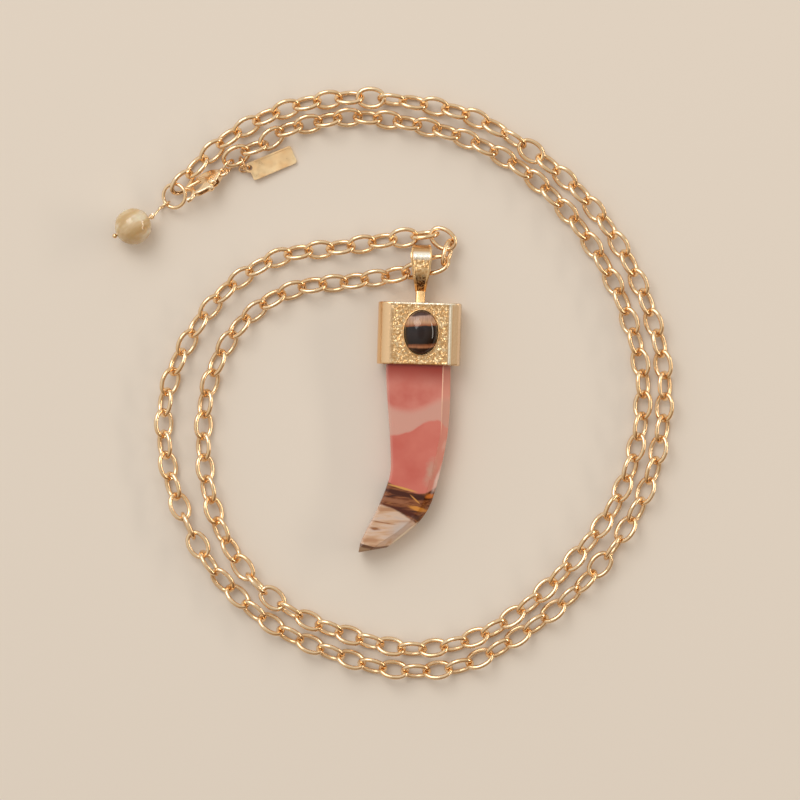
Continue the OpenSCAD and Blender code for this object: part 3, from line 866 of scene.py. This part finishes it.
def between(a, b, c, d, t):
    """A smooth curve through b and c, for t from 0 to 1."""
    return [(2 * q + t * (r - p) + t ** 2 * (2 * p - 5 * q + 4 * r - s)
             + t ** 3 * (3 * q - p - 3 * r + s)) / 2 for p, q, r, s in zip(a, b, c, d)]


rows = [SECTIONS[0]]
for four in zip(SECTIONS, SECTIONS[1:], SECTIONS[2:], SECTIONS[3:]):
    rows += [between(*four, k / STEPS) for k in range(STEPS)]
rows += SECTIONS[-2:]

# The first row is a line: two of a plane's four points are taken away
bpy.ops.mesh.primitive_plane_add(size=1 * MM)
tusk = added("banded_tusk")
pick(tusk, "point", lambda p: p.y > 0)
bpy.ops.mesh.delete(type="VERT")
leave_edit()


def move_point(start, end):
    """Moves the point that lies at start to end, both in mm."""
    pick(tusk, "point", lambda p: (p - Vector(start)).length < NEAR)
    shift((Vector(end) - Vector(start)) * MM)
    leave_edit()


corners = [(Vector((lx, ly, TUSK_BACK)), Vector((rx, ry, TUSK_BACK))) for lx, ly, rx, ry in rows]
for start, end in zip(((-0.5, -0.5, 0), (0.5, -0.5, 0)), corners[0]):
    move_point(start, end)
for (a, b), (c, d) in zip(corners, corners[1:]):
    pick(tusk, "edge", lambda middle, way: (middle - (a + b) / 2).length < NEAR)
    draw_out((c - a) * MM)
    leave_edit()
    move_point(b + c - a, d)
pick_all()
draw_out((0, 0, TUSK_T * MM))
turn_outwards()
print("tusk:", len(rows), "sections")

# %% Grind the tusk's edges
END_W, BEVEL_W, ROUND_W, BACK_W = 1.0, 1.7, 1.0, 0.7


def on_edge(side, top):
    """A test for the long edges on one side of the tusk, at its front or its back."""
    ends = [Vector((r[2 * side], r[2 * side + 1], TUSK_T * top + TUSK_BACK)) for r in rows]
    middles = [(p + q) / 2 for p, q in zip(ends, ends[1:])]
    return lambda middle, way: min((middle - m).length for m in middles) < NEAR


end_a, end_b = (Vector((rows[-1][i], rows[-1][i + 1], TUSK_BACK + TUSK_T)) for i in (0, 2))
pick(tusk, "edge", lambda middle, way: (middle - (end_a + end_b) / 2).length < NEAR)
bevel_picked(END_W, 2, clamp_overlap=True)
for side, top, offset, segments in ((1, 1, BEVEL_W, 1), (0, 1, ROUND_W, 3), (0, 0, BACK_W, 3),
                                    (1, 0, BACK_W, 3)):
    print("tusk edges bevelled:", pick(tusk, "edge", on_edge(side, top)))
    bevel_picked(offset, segments, clamp_overlap=True)

# The cut end breaks the bevel's last stretch, so what stands over the bevel there is sliced off
last_x, last_y = rows[-2][2:]
out_x, out_y = rows[-3][3] - last_y, last_x - rows[-3][2]
out_len = math.hypot(out_x, out_y)
slice_all((last_x, last_y, TUSK_BACK + TUSK_T - BEVEL_W + NEAR), (out_x / out_len, out_y / out_len, 1),
          clear_outer=True, use_fill=True)
soften(tusk, 0.14, 2, 32)
place(tusk, TO_PENDANT)
smooth_cast(tusk, 25)

# %% [markdown]
# ## The stone of the tusk
# The tusk is glass melted in layers to look like quartz: brick red at the top, a clear pale band,
# coral red again, then a brown tiger-like zone and a smoky clear tip. One colour ramp for all would
# give straight borders. Here each border is its own curve across the slab, pushed about by noise,
# and the colours are laid one over the other. Clouds and flashes inside a layer are small oval
# patches with wavy edges, and so are painted highlights along the ground edges. The polished
# surface is smooth, so it has gloss and no bump; the clear band and the tip let a little light
# through, and the sides and the faces turned right are painted paler, as painted light through
# thin glass.

# %% Banded glass material
ACROSS = (-12.5, 8.0)
DOWN = (-50.0, -5.0)

GLASS, tree, shader = new_material("banded_fused_glass")
at_mm = pendant_mm(tree)
swirl = add_node(tree, "TexNoise", {"Vector": at_mm.outputs[0], "Scale": 0.14, "Detail": 3.0})
curl = add_node(tree, "TexNoise", {"Vector": at_mm.outputs[0], "Scale": 0.55, "Detail": 4.0})
where = add_node(tree, "SeparateXYZ", {"Vector": at_mm.outputs[0]})


def below_line(line, soft, waviness, noise=curl):
    """1 below a border and 0 above it. line is the border as (x, y) in mm, soft is how far the
    change reaches to each side, and waviness is how far the noise pushes the border."""
    x_share = add_node(tree, "MapRange", {"Value": where.outputs["X"], "From Min": ACROSS[0],
                       "From Max": ACROSS[1]})
    ends = [(0.0, (line[0][1] - DOWN[0]) / (DOWN[1] - DOWN[0]))]
    ends += [((x - ACROSS[0]) / (ACROSS[1] - ACROSS[0]), (y - DOWN[0]) / (DOWN[1] - DOWN[0]))
             for x, y in line]
    ends += [(1.0, ends[-1][1])]
    border = add_node(tree, "FloatCurve", {"Value": x_share.outputs[0]}, points=ends)
    border_y = add_node(tree, "MapRange", {"Value": border.outputs[0], "To Min": DOWN[0],
                        "To Max": DOWN[1]}, clamp=False)
    pushed = add_node(tree, "Math", {0: noise.outputs["Fac"], 1: waviness,
                      2: where.outputs["Y"]}, operation="MULTIPLY_ADD")
    over = add_node(tree, "Math", {0: border_y.outputs[0], 1: pushed.outputs[0]},
                    operation="SUBTRACT")
    return add_node(tree, "MapRange", {
        "Value": over.outputs[0], "From Min": -soft - waviness / 2, "From Max": soft - waviness / 2},
        interpolation_type="SMOOTHSTEP").outputs[0]


def patch(middle, half_long, half_wide, turn, edge=0.35, waviness=0.5):
    """1 inside an oval patch with wavy edges and 0 outside, sizes in mm, turn in degrees."""
    centred = add_node(tree, "Mapping", {
        "Vector": at_mm.outputs[0], "Location": (*middle, 0), "Rotation": (0, 0, math.radians(turn)),
        "Scale": (half_long, half_wide, 1e3)}, vector_type="TEXTURE")
    away = add_node(tree, "VectorMath", {0: centred.outputs[0]}, operation="LENGTH")
    wavy = add_node(tree, "Math", {0: curl.outputs["Fac"], 1: 2 * waviness,
                    2: away.outputs["Value"]}, operation="MULTIPLY_ADD")
    return add_node(tree, "MapRange", {
        "Value": wavy.outputs[0], "From Min": 1 - edge + waviness, "From Max": 1 + edge + waviness,
        "To Min": 1.0, "To Max": 0.0}, interpolation_type="SMOOTHSTEP").outputs[0]


def lay_over(below, colour, mask):
    """Lays a colour over what is below it where the mask is 1."""
    return add_node(tree, "Mix", {0: mask, 6: below, 7: colour},
                    data_type="RGBA").outputs[2]


print("glass drawn from", ACROSS, "across and", DOWN, "down, in mm")

# %% Lay the bands of glass
BORDERS = {
    # name: border as (x, y) in mm, softness, waviness
    "under_cap": ([(-7, -9.3), (0, -9.6), (7, -10.0)], 2.8, 1.2, swirl),
    "pale_top": ([(-6.9, -15.6), (-4.8, -16.6), (-1.5, -17.0), (0.7, -16.5), (3.3, -15.3),
                  (5.2, -14.3), (7.2, -14.0)], 1.1, 0.8),
    "pale_low": ([(-6.2, -22.4), (-4.4, -22.2), (-2.7, -21.8), (-0.9, -21.1), (0.4, -20.2),
                  (1.9, -19.3), (3.4, -18.9), (5.2, -19.0), (6.1, -20.0), (7.2, -20.4)], 0.3, 0.5),
    "brown_top": ([(-6.1, -32.5), (-4.8, -33.1), (-3.2, -33.6), (-1.9, -34.1), (-0.5, -34.6),
                   (1.2, -34.9), (2.8, -34.6), (3.9, -33.9), (4.9, -33.3)], 0.22, 0.35),
    "brown_end": ([(-7.7, -37.5), (-6.6, -37.8), (-4.8, -38.2), (-3.3, -39.0), (-1.9, -39.9),
                   (-0.6, -40.7), (0.6, -41.5), (1.7, -42.2)], 0.3, 0.5),
    "cut_end": ([(-12.4, -45.9), (-10.2, -46.4), (-8.2, -46.75), (-5.6, -46.5)], 0.1, 0.2),
    "under_end": ([(-12.4, -46.7), (-10.2, -47.1), (-8.2, -47.3), (-5.6, -47.0)], 0.2, 0.3),
}
GRAIN_TURN = 0.36
below = {name: below_line(*border) for name, border in BORDERS.items()}

red = add_node(tree, "ValToRGB", {"Fac": swirl.outputs["Fac"]},
               stops=[(0.35, "#CC6A5C"), (0.65, "#DC8C7C")])
coral = add_node(tree, "ValToRGB", {"Fac": swirl.outputs["Fac"]},
                 stops=[(0.3, "#CC6456"), (0.7, "#D97C6C")])
streak_at = add_node(tree, "Mapping", {"Vector": at_mm.outputs[0],
                     "Rotation": (0, 0, GRAIN_TURN), "Scale": (0.2, 1.7, 1.0)})
streaks = add_node(tree, "TexNoise", {"Vector": streak_at.outputs[0], "Scale": 1.0,
                   "Detail": 5.0})
brown = add_node(tree, "ValToRGB", {"Fac": streaks.outputs["Fac"]}, stops=[
    (0.34, "#441E0C"), (0.45, "#743C1E"), (0.54, "#9C6038"), (0.6, "#6A341A"), (0.7, "#B47A46")])
haze_at = add_node(tree, "Mapping", {"Vector": at_mm.outputs[0],
                   "Rotation": (0, 0, GRAIN_TURN), "Scale": (0.16, 0.9, 1.0)})
haze = add_node(tree, "TexNoise", {"Vector": haze_at.outputs[0], "Scale": 1.0, "Detail": 2.5})
smoke = add_node(tree, "ValToRGB", {"Fac": haze.outputs["Fac"]}, stops=[
    (0.34, "#CC9A74"), (0.45, "#E2B894"), (0.57, "#EECFB6"), (0.68, "#E4CCBC")])
glass = linear("#9E3C2E")
for layer, border in ((red.outputs["Color"], "under_cap"), (linear("#F0B4A2"), "pale_top"),
                      (coral.outputs["Color"], "pale_low"), (brown.outputs["Color"], "brown_top"),
                      (smoke.outputs["Color"], "brown_end")):
    glass = lay_over(glass, layer, below[border])

PATCHES = [
    # colour, middle in mm, half length, half width, turn in degrees, and softness, waviness
    ("#4A1C06", (-3.3, -34.9), 3.4, 0.55, -10),
    ("#421804", (1.5, -35.8), 2.6, 0.5, -2),
    ("#DDA255", (-2.6, -33.8), 2.8, 0.22, -14, 0.4, 0.4),
    ("#D09048", (0.2, -36.2), 1.4, 0.16, -42, 0.4, 0.3),
    ("#D87C34", (3.5, -35.4), 1.1, 0.5, 12, 0.4, 0.5),
    ("#9C6444", (-4.6, -36.5), 2.4, 0.45, -8, 0.7, 0.9),
    ("#D68E3C", (0.9, -38.2), 2.1, 0.45, -14, 0.4, 0.6),
    ("#521E08", (-2.6, -38.7), 4.6, 0.28, -19, 0.5, 0.7),
    ("#521E08", (-0.2, -39.8), 2.4, 0.38, -28, 0.5, 0.7),
    ("#B07A52", (-6.8, -41.4), 2.2, 0.16, -8, 0.6, 0.8),
    ("#A87048", (-8.4, -42.8), 1.1, 0.3, -8, 0.6, 0.8),
    ("#DCCBC0", (-2.9, -42.9), 2.4, 1.2, 35, 0.9, 0.6),
    ("#CC9A86", (3.3, -29.9), 0.8, 2.2, -14, 1.0, 1.1),
    ("#E0A898", (6.2, -24.2), 0.35, 1.0, -14, 0.9, 0.6),
    # light that the ground edges catch: down the bevel's crease, at the bend and along the tip
    ("#FFCDB0", (5.42, -13.4), 7.6, 0.11, 90, 0.3, 0.1),
    ("#EBD3CC", (5.0, -31.4), 3.0, 0.42, 71, 0.7, 0.4),
    ("#FFF6DC", (-2.0, -43.7), 3.7, 0.2, 41, 0.4, 0.2),
]
for code, *shape in PATCHES:
    glass = lay_over(glass, linear(code), patch(*shape))
for code, border in (("#70492F", "cut_end"), ("#A88664", "under_end")):
    glass = lay_over(glass, linear(code), below[border])
print("borders:", len(BORDERS), "patches:", len(PATCHES))

# %% Painted light in the thin edges
# Painted light: thin edges would let more light through, so the sides are painted paler than the front,
# but not the brown zone
surface = add_node(tree, "NewGeometry")
facing = add_node(tree, "SeparateXYZ", {"Vector": surface.outputs["Normal"]})
thin = add_node(tree, "MapRange", {"Value": facing.outputs["Z"], "From Min": 0.93,
                "From Max": 0.3, "To Min": 0.0, "To Max": 0.34})
brown_zone = add_node(tree, "Math", {0: below["brown_top"], 1: below["brown_end"]}, operation="SUBTRACT")
elsewhere = add_node(tree, "Math", {0: 1.0, 1: brown_zone.outputs[0]}, operation="SUBTRACT")
painted_edge_light = add_node(tree, "Math", {0: thin.outputs[0], 1: elsewhere.outputs[0]},
                      operation="MULTIPLY")
glass = lay_over(glass, linear("#FFDCCC"), painted_edge_light.outputs[0])
# Painted light on faces turned to the right, as on the bevel that faces the dim side of the sky
right_face_painted_light = add_node(tree, "MapRange", {"Value": facing.outputs["X"], "From Min": 0.4,
                         "From Max": 0.7, "To Min": 0.0, "To Max": 0.22})
painted_right_face_light = add_node(tree, "Math", {0: right_face_painted_light.outputs[0], 1: elsewhere.outputs[0]},
                       operation="MULTIPLY")
glass = lay_over(glass, linear("#FFB8A4"), painted_right_face_light.outputs[0])
tree.links.new(glass, shader.inputs["Base Color"])
clear_band = add_node(tree, "Math", {0: below["pale_top"], 1: below["pale_low"]}, operation="SUBTRACT")
clear_tip = add_node(tree, "Math", {0: below["brown_end"], 1: 0.75, 2: clear_band.outputs[0]},
                     operation="MULTIPLY_ADD")
clear = add_node(tree, "MapRange", {"Value": clear_tip.outputs[0], "To Min": 0.08,
                 "To Max": 0.3})
tree.links.new(clear.outputs[0], shader.inputs["Transmission Weight"])
shader.inputs["Roughness"].default_value = 0.08
shader.inputs["IOR"].default_value = 1.5
finish_piece(tusk, GLASS, stands_for=["tooth"])

# %% [markdown]
# ## The bead
# The drop is a round bead of milky yellow quartz, drilled through. A sphere has its poles on the
# drill line, so the two poles are cut away and the two openings are bridged to make the hole. Milky
# quartz scatters light a little way under its polish, and its veils lie in long slanting layers,
# so the noise is stretched along them.

# %% Model the bead
BEAD_AT = (-57.01, 34.28, 4.0)
BEAD_TURN = 27.5
BEAD_D = 8.0

bpy.ops.mesh.primitive_uv_sphere_add(segments=48, ring_count=28, radius=BEAD_D / 2 * MM,
                                     rotation=(0, math.pi / 2, 0))
bead = added("quartz_bead")
pick(bead, "point", lambda p: abs(p.x) > BEAD_D / 2 - NEAR)
bpy.ops.mesh.delete(type="VERT")
bpy.ops.mesh.select_mode(type="EDGE")
bpy.ops.mesh.select_non_manifold(extend=False)
bpy.ops.mesh.bridge_edge_loops()
soften(bead, 0.08, 2)
place(bead, moved(BEAD_AT) @ turned(BEAD_TURN, "Z"))
smooth(bead, 40)
print("bead:", len(bead.data.polygons), "faces")

# %% Milky quartz
VEIL_TURN = -0.6

QUARTZ, tree, shader = new_material("milky_quartz_polished")
at = add_node(tree, "TexCoord")
at_mm = add_node(tree, "Mapping", {"Vector": at.outputs["Object"], "Rotation": (0, 0, VEIL_TURN),
                 "Scale": (1000,) * 3})
veil_at = add_node(tree, "Mapping", {"Vector": at_mm.outputs[0], "Scale": (0.12, 0.45, 0.3)})
veil = add_node(tree, "TexNoise", {"Vector": veil_at.outputs[0], "Scale": 1.0, "Detail": 3.0})
milk = add_node(tree, "ValToRGB", {"Fac": veil.outputs["Fac"]}, stops=[
    (0.34, "#DAB884"), (0.5, "#EBD2A8"), (0.62, "#FAECD2")])
tree.links.new(milk.outputs["Color"], shader.inputs["Base Color"])
shader.inputs["Roughness"].default_value = 0.06
shader.inputs["IOR"].default_value = 1.54
shader.inputs["Transmission Weight"].default_value = 0.25
shader.inputs["Subsurface Weight"].default_value = 0.35
shader.inputs["Subsurface Radius"].default_value = (1.0, 0.8, 0.5)
shader.inputs["Subsurface Scale"].default_value = 1.5 * MM
finish_piece(bead, QUARTZ, stands_for=["bead"])

# %% [markdown]
# ## The head pin
# The drop hangs on a head pin: a wire with a ball melted on its end goes through the bead, is wound
# round itself in three close turns, runs up as a stem and closes in a loop round the jump ring. A
# wire is a line with a round section, so each length is drawn by extruding one point from place to
# place, and the line is turned into a curve with a round bevel.

# %% Draw wires
def wire_along(name, points, radius):
    """A round wire through points in mm, with closed ends."""
    bpy.ops.mesh.primitive_plane_add(size=1 * MM)
    line = added(name)
    pick(line, "point", lambda p: p.x > 0 or p.y > 0)
    bpy.ops.mesh.delete(type="VERT")
    bpy.ops.mesh.select_mode(type="VERT")
    pick_all()
    shift((Vector(points[0]) - Vector((-0.5, -0.5, 0))) * MM)
    for before, after in zip(points, points[1:]):
        draw_out((Vector(after) - Vector(before)) * MM)
    line = convert(line, "CURVE")
    line.data.bevel_depth = radius * MM
    line.data.bevel_resolution = 3
    line.data.use_fill_caps = True
    return convert(line)


def level(degrees):
    """The level way that is turned so far from X."""
    return Vector((math.cos(math.radians(degrees)), math.sin(math.radians(degrees)), 0))


def round_from(middle, radius, way, degrees):
    """A point on an upright circle, so far round from a level way."""
    angle = math.radians(degrees)
    return middle + radius * (math.cos(angle) * way + math.sin(angle) * Vector((0, 0, 1)))

# %% Model the head pin
LOOP_WIRE_R, WRAP_WIRE_R, BALL_R = 0.25, 0.19, 0.54
LOOP_AT, LOOP_TURN, LOOP_R = Vector((-50.34, 39.05, 1.64)), 34, 1.35
LOOP_START, LOOP_SWEEP, LOOP_STEPS = 134, 320, 24
TURNS, TURN_R, TURN_STEPS, TURN_RISE = 3, 0.4, 14, 0.23
# In mm from the bead's middle: the ball, the stops along the straight pin, and the first turn
BALL_UP, PIN_STOPS, WRAP_UP = -4.5, (0, 4.0, 5.0, 5.2), 4.28
ALONG = level(BEAD_TURN)
BESIDE = Vector((-ALONG.y, ALONG.x, 0))
bead_middle = Vector(BEAD_AT)

# The loop's turn starts at its top and ends where it meets the stem again
loop_points = [round_from(LOOP_AT, LOOP_R, level(LOOP_TURN), LOOP_START - k * LOOP_SWEEP / LOOP_STEPS)
               for k in range(LOOP_STEPS + 1)]
straight = [bead_middle + ALONG * t for t in (BALL_UP, *PIN_STOPS)]
stem = [(straight[-1] * (3 - k) + loop_points[0] * k) / 3 for k in (1, 2)]
pin = wire_along("head_pin_wire", straight + stem + loop_points, LOOP_WIRE_R)

# Three close turns of the wire round the pin, just above the bead
wrap_points = [round_from(bead_middle + ALONG * (WRAP_UP + TURN_RISE * k / TURN_STEPS), TURN_R, BESIDE,
                          360 * k / TURN_STEPS) for k in range(TURNS * TURN_STEPS + 1)]
wrap = wire_along("wrapped_turns", wrap_points, WRAP_WIRE_R)

bpy.ops.mesh.primitive_uv_sphere_add(segments=24, ring_count=14, radius=BALL_R * MM,
                                     location=(bead_middle + ALONG * BALL_UP) * MM)
ball = added("ball_end")
for part in (pin, wrap, ball):
    smooth(part, 60)
head_pin = join("head_pin_with_loop", [wrap, ball, pin])
finish_piece(head_pin, CHAIN_GOLD, stands_for=["head_pin"])

# %% [markdown]
# ## The clasp
# A trigger clasp is cast in two parts. The body has an eye, two cheeks with a slot between them and
# a hook; the lever sits in the slot on a pin and a hidden spring keeps it shut. All the outlines are
# soft from casting and tumbling. The cheeks and the lever start as flat outlines, drawn by moving
# the points of a circle, are extruded to their thickness and have their edges rounded. The hook is
# a round bar that is extruded straight and then spun round.

# %% The clasp's frame and flat outlines
CLASP_TAIL, CLASP_TURN, CLASP_PITCH, CLASP_ROLL = (-36.36, 46.95, 2.15), 212.7, 7.1, 45
TO_CLASP = (moved(CLASP_TAIL) @ turned(CLASP_TURN, "Z") @ turned(-CLASP_PITCH, "Y")
            @ turned(CLASP_ROLL, "X"))


def plate_from(name, outline, thick):
    """A flat plate with the outline, in mm, its middle layer at Z = 0."""
    bpy.ops.mesh.primitive_circle_add(vertices=len(outline), radius=50 * MM, fill_type="NGON")
    plate = added(name)
    starts = [v.co / MM for v in plate.data.vertices]
    for start, (x, y) in zip(starts, outline):
        pick(plate, "point", lambda p: (p - start).length < NEAR)
        shift((Vector((x, y, -thick / 2)) - start) * MM)
    pick_all()
    draw_out((0, 0, thick * MM))
    turn_outwards()
    return plate


def rod(name, middle, radius, length, sides):
    """An upright cylinder, sizes in mm."""
    bpy.ops.mesh.primitive_cylinder_add(vertices=sides, radius=radius * MM, depth=length * MM,
                                        location=metres(*middle, 0))
    return added(name)


print("the clasp's tail at", CLASP_TAIL, "mm")

# %% [markdown]
# ## The clasp's body
# Four simple forms make the casting: a ring for the eye, a plate with rounded edges for the two
# cheeks, slotted for the lever, a bar that is spun to a hook, and a rivet. They overlap as the
# parts of one casting do, and are joined at the end.

# %% Model the clasp's body
CHEEK_T, CLASP_ROUND = 2.1, 0.42
SLOT_AT, SLOT_SIZE = (6.2, 1.75, 0), (6, 4, 1.1)
EYE_R, EYE_WIRE_R, EYE_X = 0.95, 0.4, 1.3
HOOK_R, HOOK_X, HOOK_WIRE = 1.8, 10.825, 1.15
HOOK_START, HOOK_STEPS = 3.6, 4
HOOK_ANGLE, HOOK_NOSE = 200, 0.78
PIVOT, PIVOT_R, PIVOT_PLAY = (4.4, 1.0), 0.36, 0.02

cheeks = plate_from("cheeks", [
    (1.7, -0.55), (2.4, -1.3), (3.4, -1.95), (4.6, -2.3), (6.0, -2.35), (7.2, -2.15), (6.6, -1.4),
    (5.7, -0.9), (5.3, -0.3), (5.3, 0.5), (5.4, 1.2), (5.0, 1.85), (4.2, 2.1), (3.3, 1.65),
    (2.5, 0.95), (1.7, 0.55)], CHEEK_T)
soften(cheeks, CLASP_ROUND, 4)
cut(cheeks, block("slot", SLOT_AT, SLOT_SIZE))

bpy.ops.mesh.primitive_torus_add(major_radius=EYE_R * MM, minor_radius=EYE_WIRE_R * MM,
                                 major_segments=36, minor_segments=14, location=metres(EYE_X, 0, 0))
eye = added("eye")

bpy.ops.mesh.primitive_circle_add(vertices=18, radius=HOOK_WIRE / 2 * MM, fill_type="NOTHING",
                                  location=(HOOK_START * MM, -HOOK_R * MM, 0),
                                  rotation=(0, math.pi / 2, 0))
hook = added("hook")
pick_all()
for k in range(HOOK_STEPS):
    draw_out(((HOOK_X - HOOK_START) / HOOK_STEPS * MM, 0, 0))
bpy.ops.mesh.spin(steps=22, angle=math.radians(HOOK_ANGLE), center=(HOOK_X * MM, 0, 0), axis=(0, 0, 1))
leave_edit()
print("hook reaches", round(max(v.co.x for v in hook.data.vertices) / MM, 2), "mm")
# The hook's end is drawn in to a soft nose
nose = Vector((HOOK_X, 0, 0)) + HOOK_R * level(HOOK_ANGLE - 90)
pick(hook, "point", lambda p: (p - nose).length < HOOK_WIRE / 2 + 0.05)
bpy.ops.transform.resize(value=(HOOK_NOSE,) * 3, center_override=nose * MM)
close_ends()
soften(hook, 0.14, 3)

rivet = rod("pivot_pin", PIVOT, PIVOT_R, CHEEK_T + 0.1, 24)
soften(rivet, 0.07, 2)
clasp_body = join("clasp_body_cast", [eye, hook, rivet, cheeks])
place(clasp_body, TO_CLASP)
smooth_cast(clasp_body, 40)
finish_piece(clasp_body, CLASP_GOLD, stands_for=["clasp_body"])

# %% [markdown]
# ## The clasp's lever
# The lever turns on the rivet, so it is its own piece and rides on its own body. Its arm is thicker
# than the part in the slot, as in the picture, and is bevelled almost round, so that it takes the
# light in one long line. It is bored for the rivet with a little play.

# %% Model the clasp's lever
LEVER_T, ARM_FROM, ARM_THICKER = 0.9, 6, 1.5

lever = plate_from("clasp_lever_cast", [
    (3.5, 0.9), (3.75, 0.4), (4.4, 0.1), (5.4, 0.35), (6.6, 0.7), (7.9, 0.92), (9.0, 1.0),
    (9.3, 1.35), (9.0, 1.9), (8.2, 2.2), (7.2, 2.35), (6.5, 2.4), (6.05, 2.65), (5.75, 3.12),
    (5.05, 3.15), (4.8, 2.4), (4.5, 1.95), (3.8, 1.65)], LEVER_T)
pick(lever, "point", lambda p: p.x > ARM_FROM)
bpy.ops.transform.resize(value=(1, 1, ARM_THICKER), center_override=(0, 0, 0))
soften(lever, CLASP_ROUND, 4)
cut(lever, rod("bore", PIVOT, PIVOT_R + PIVOT_PLAY, 3, 24))
place(lever, TO_CLASP)
smooth_cast(lever, 40)
finish_piece(lever, CLASP_GOLD, body="lever", stands_for=["clasp_lever"])

# %% [markdown]
# ## The tag
# The tag is a small plate stamped from sheet, with a lug for its ring at one corner. It is a cube
# with rounded corners, joined to a short round lug and drilled. Its face is pressed in a little, so
# a narrow rim stands proud and takes the light, as on a struck piece.

# %% Model the tag
TAG_L, TAG_W, TAG_T = 10.3, 4.1, 0.6
TAG_AT, TAG_TIP, TAG_TURN = (-31.44, 46.37, 1.15), 4.2, 23
HOLE_AT, HOLE_R, LUG_R = (0.16, 0.9), 0.62, 1.05
CORNER_R, RIM, PRESSED = 0.5, 0.36, 0.2
PANEL_FROM, PANEL_CORNER_R = 1.5, 0.3


def rounded_box(name, x_from, x_to, wide, z_from, z_to, corner):
    """A box along X with its four upright edges rounded, sizes in mm."""
    box = block(name, ((x_from + x_to) / 2, 0, (z_from + z_to) / 2),
                (x_to - x_from, wide, z_to - z_from))
    pick(box, "edge", lambda middle, way: abs(way.z) > 0.99)
    bevel_picked(corner, 5)
    leave_edit()
    return box


tag = rounded_box("bare_tag", 0, TAG_L, TAG_W, -TAG_T / 2, TAG_T / 2, CORNER_R)
stamp = rounded_box("stamp", PANEL_FROM, TAG_L - RIM, TAG_W - 2 * RIM, TAG_T / 2 - PRESSED, TAG_T,
                    PANEL_CORNER_R)
cut(tag, rod("lug", HOLE_AT, LUG_R, TAG_T - 0.06, 40), "UNION")
cut(tag, rod("hole", HOLE_AT, HOLE_R, TAG_T * 3, 40))
cut(tag, stamp)
soften(tag, 0.15, 3, 60)
place(tag, moved(TAG_AT) @ turned(TAG_TURN, "Z") @ turned(TAG_TIP, "Y"))
smooth_cast(tag, 30)
finish_piece(tag, TAG_GOLD, stands_for=["tag"])
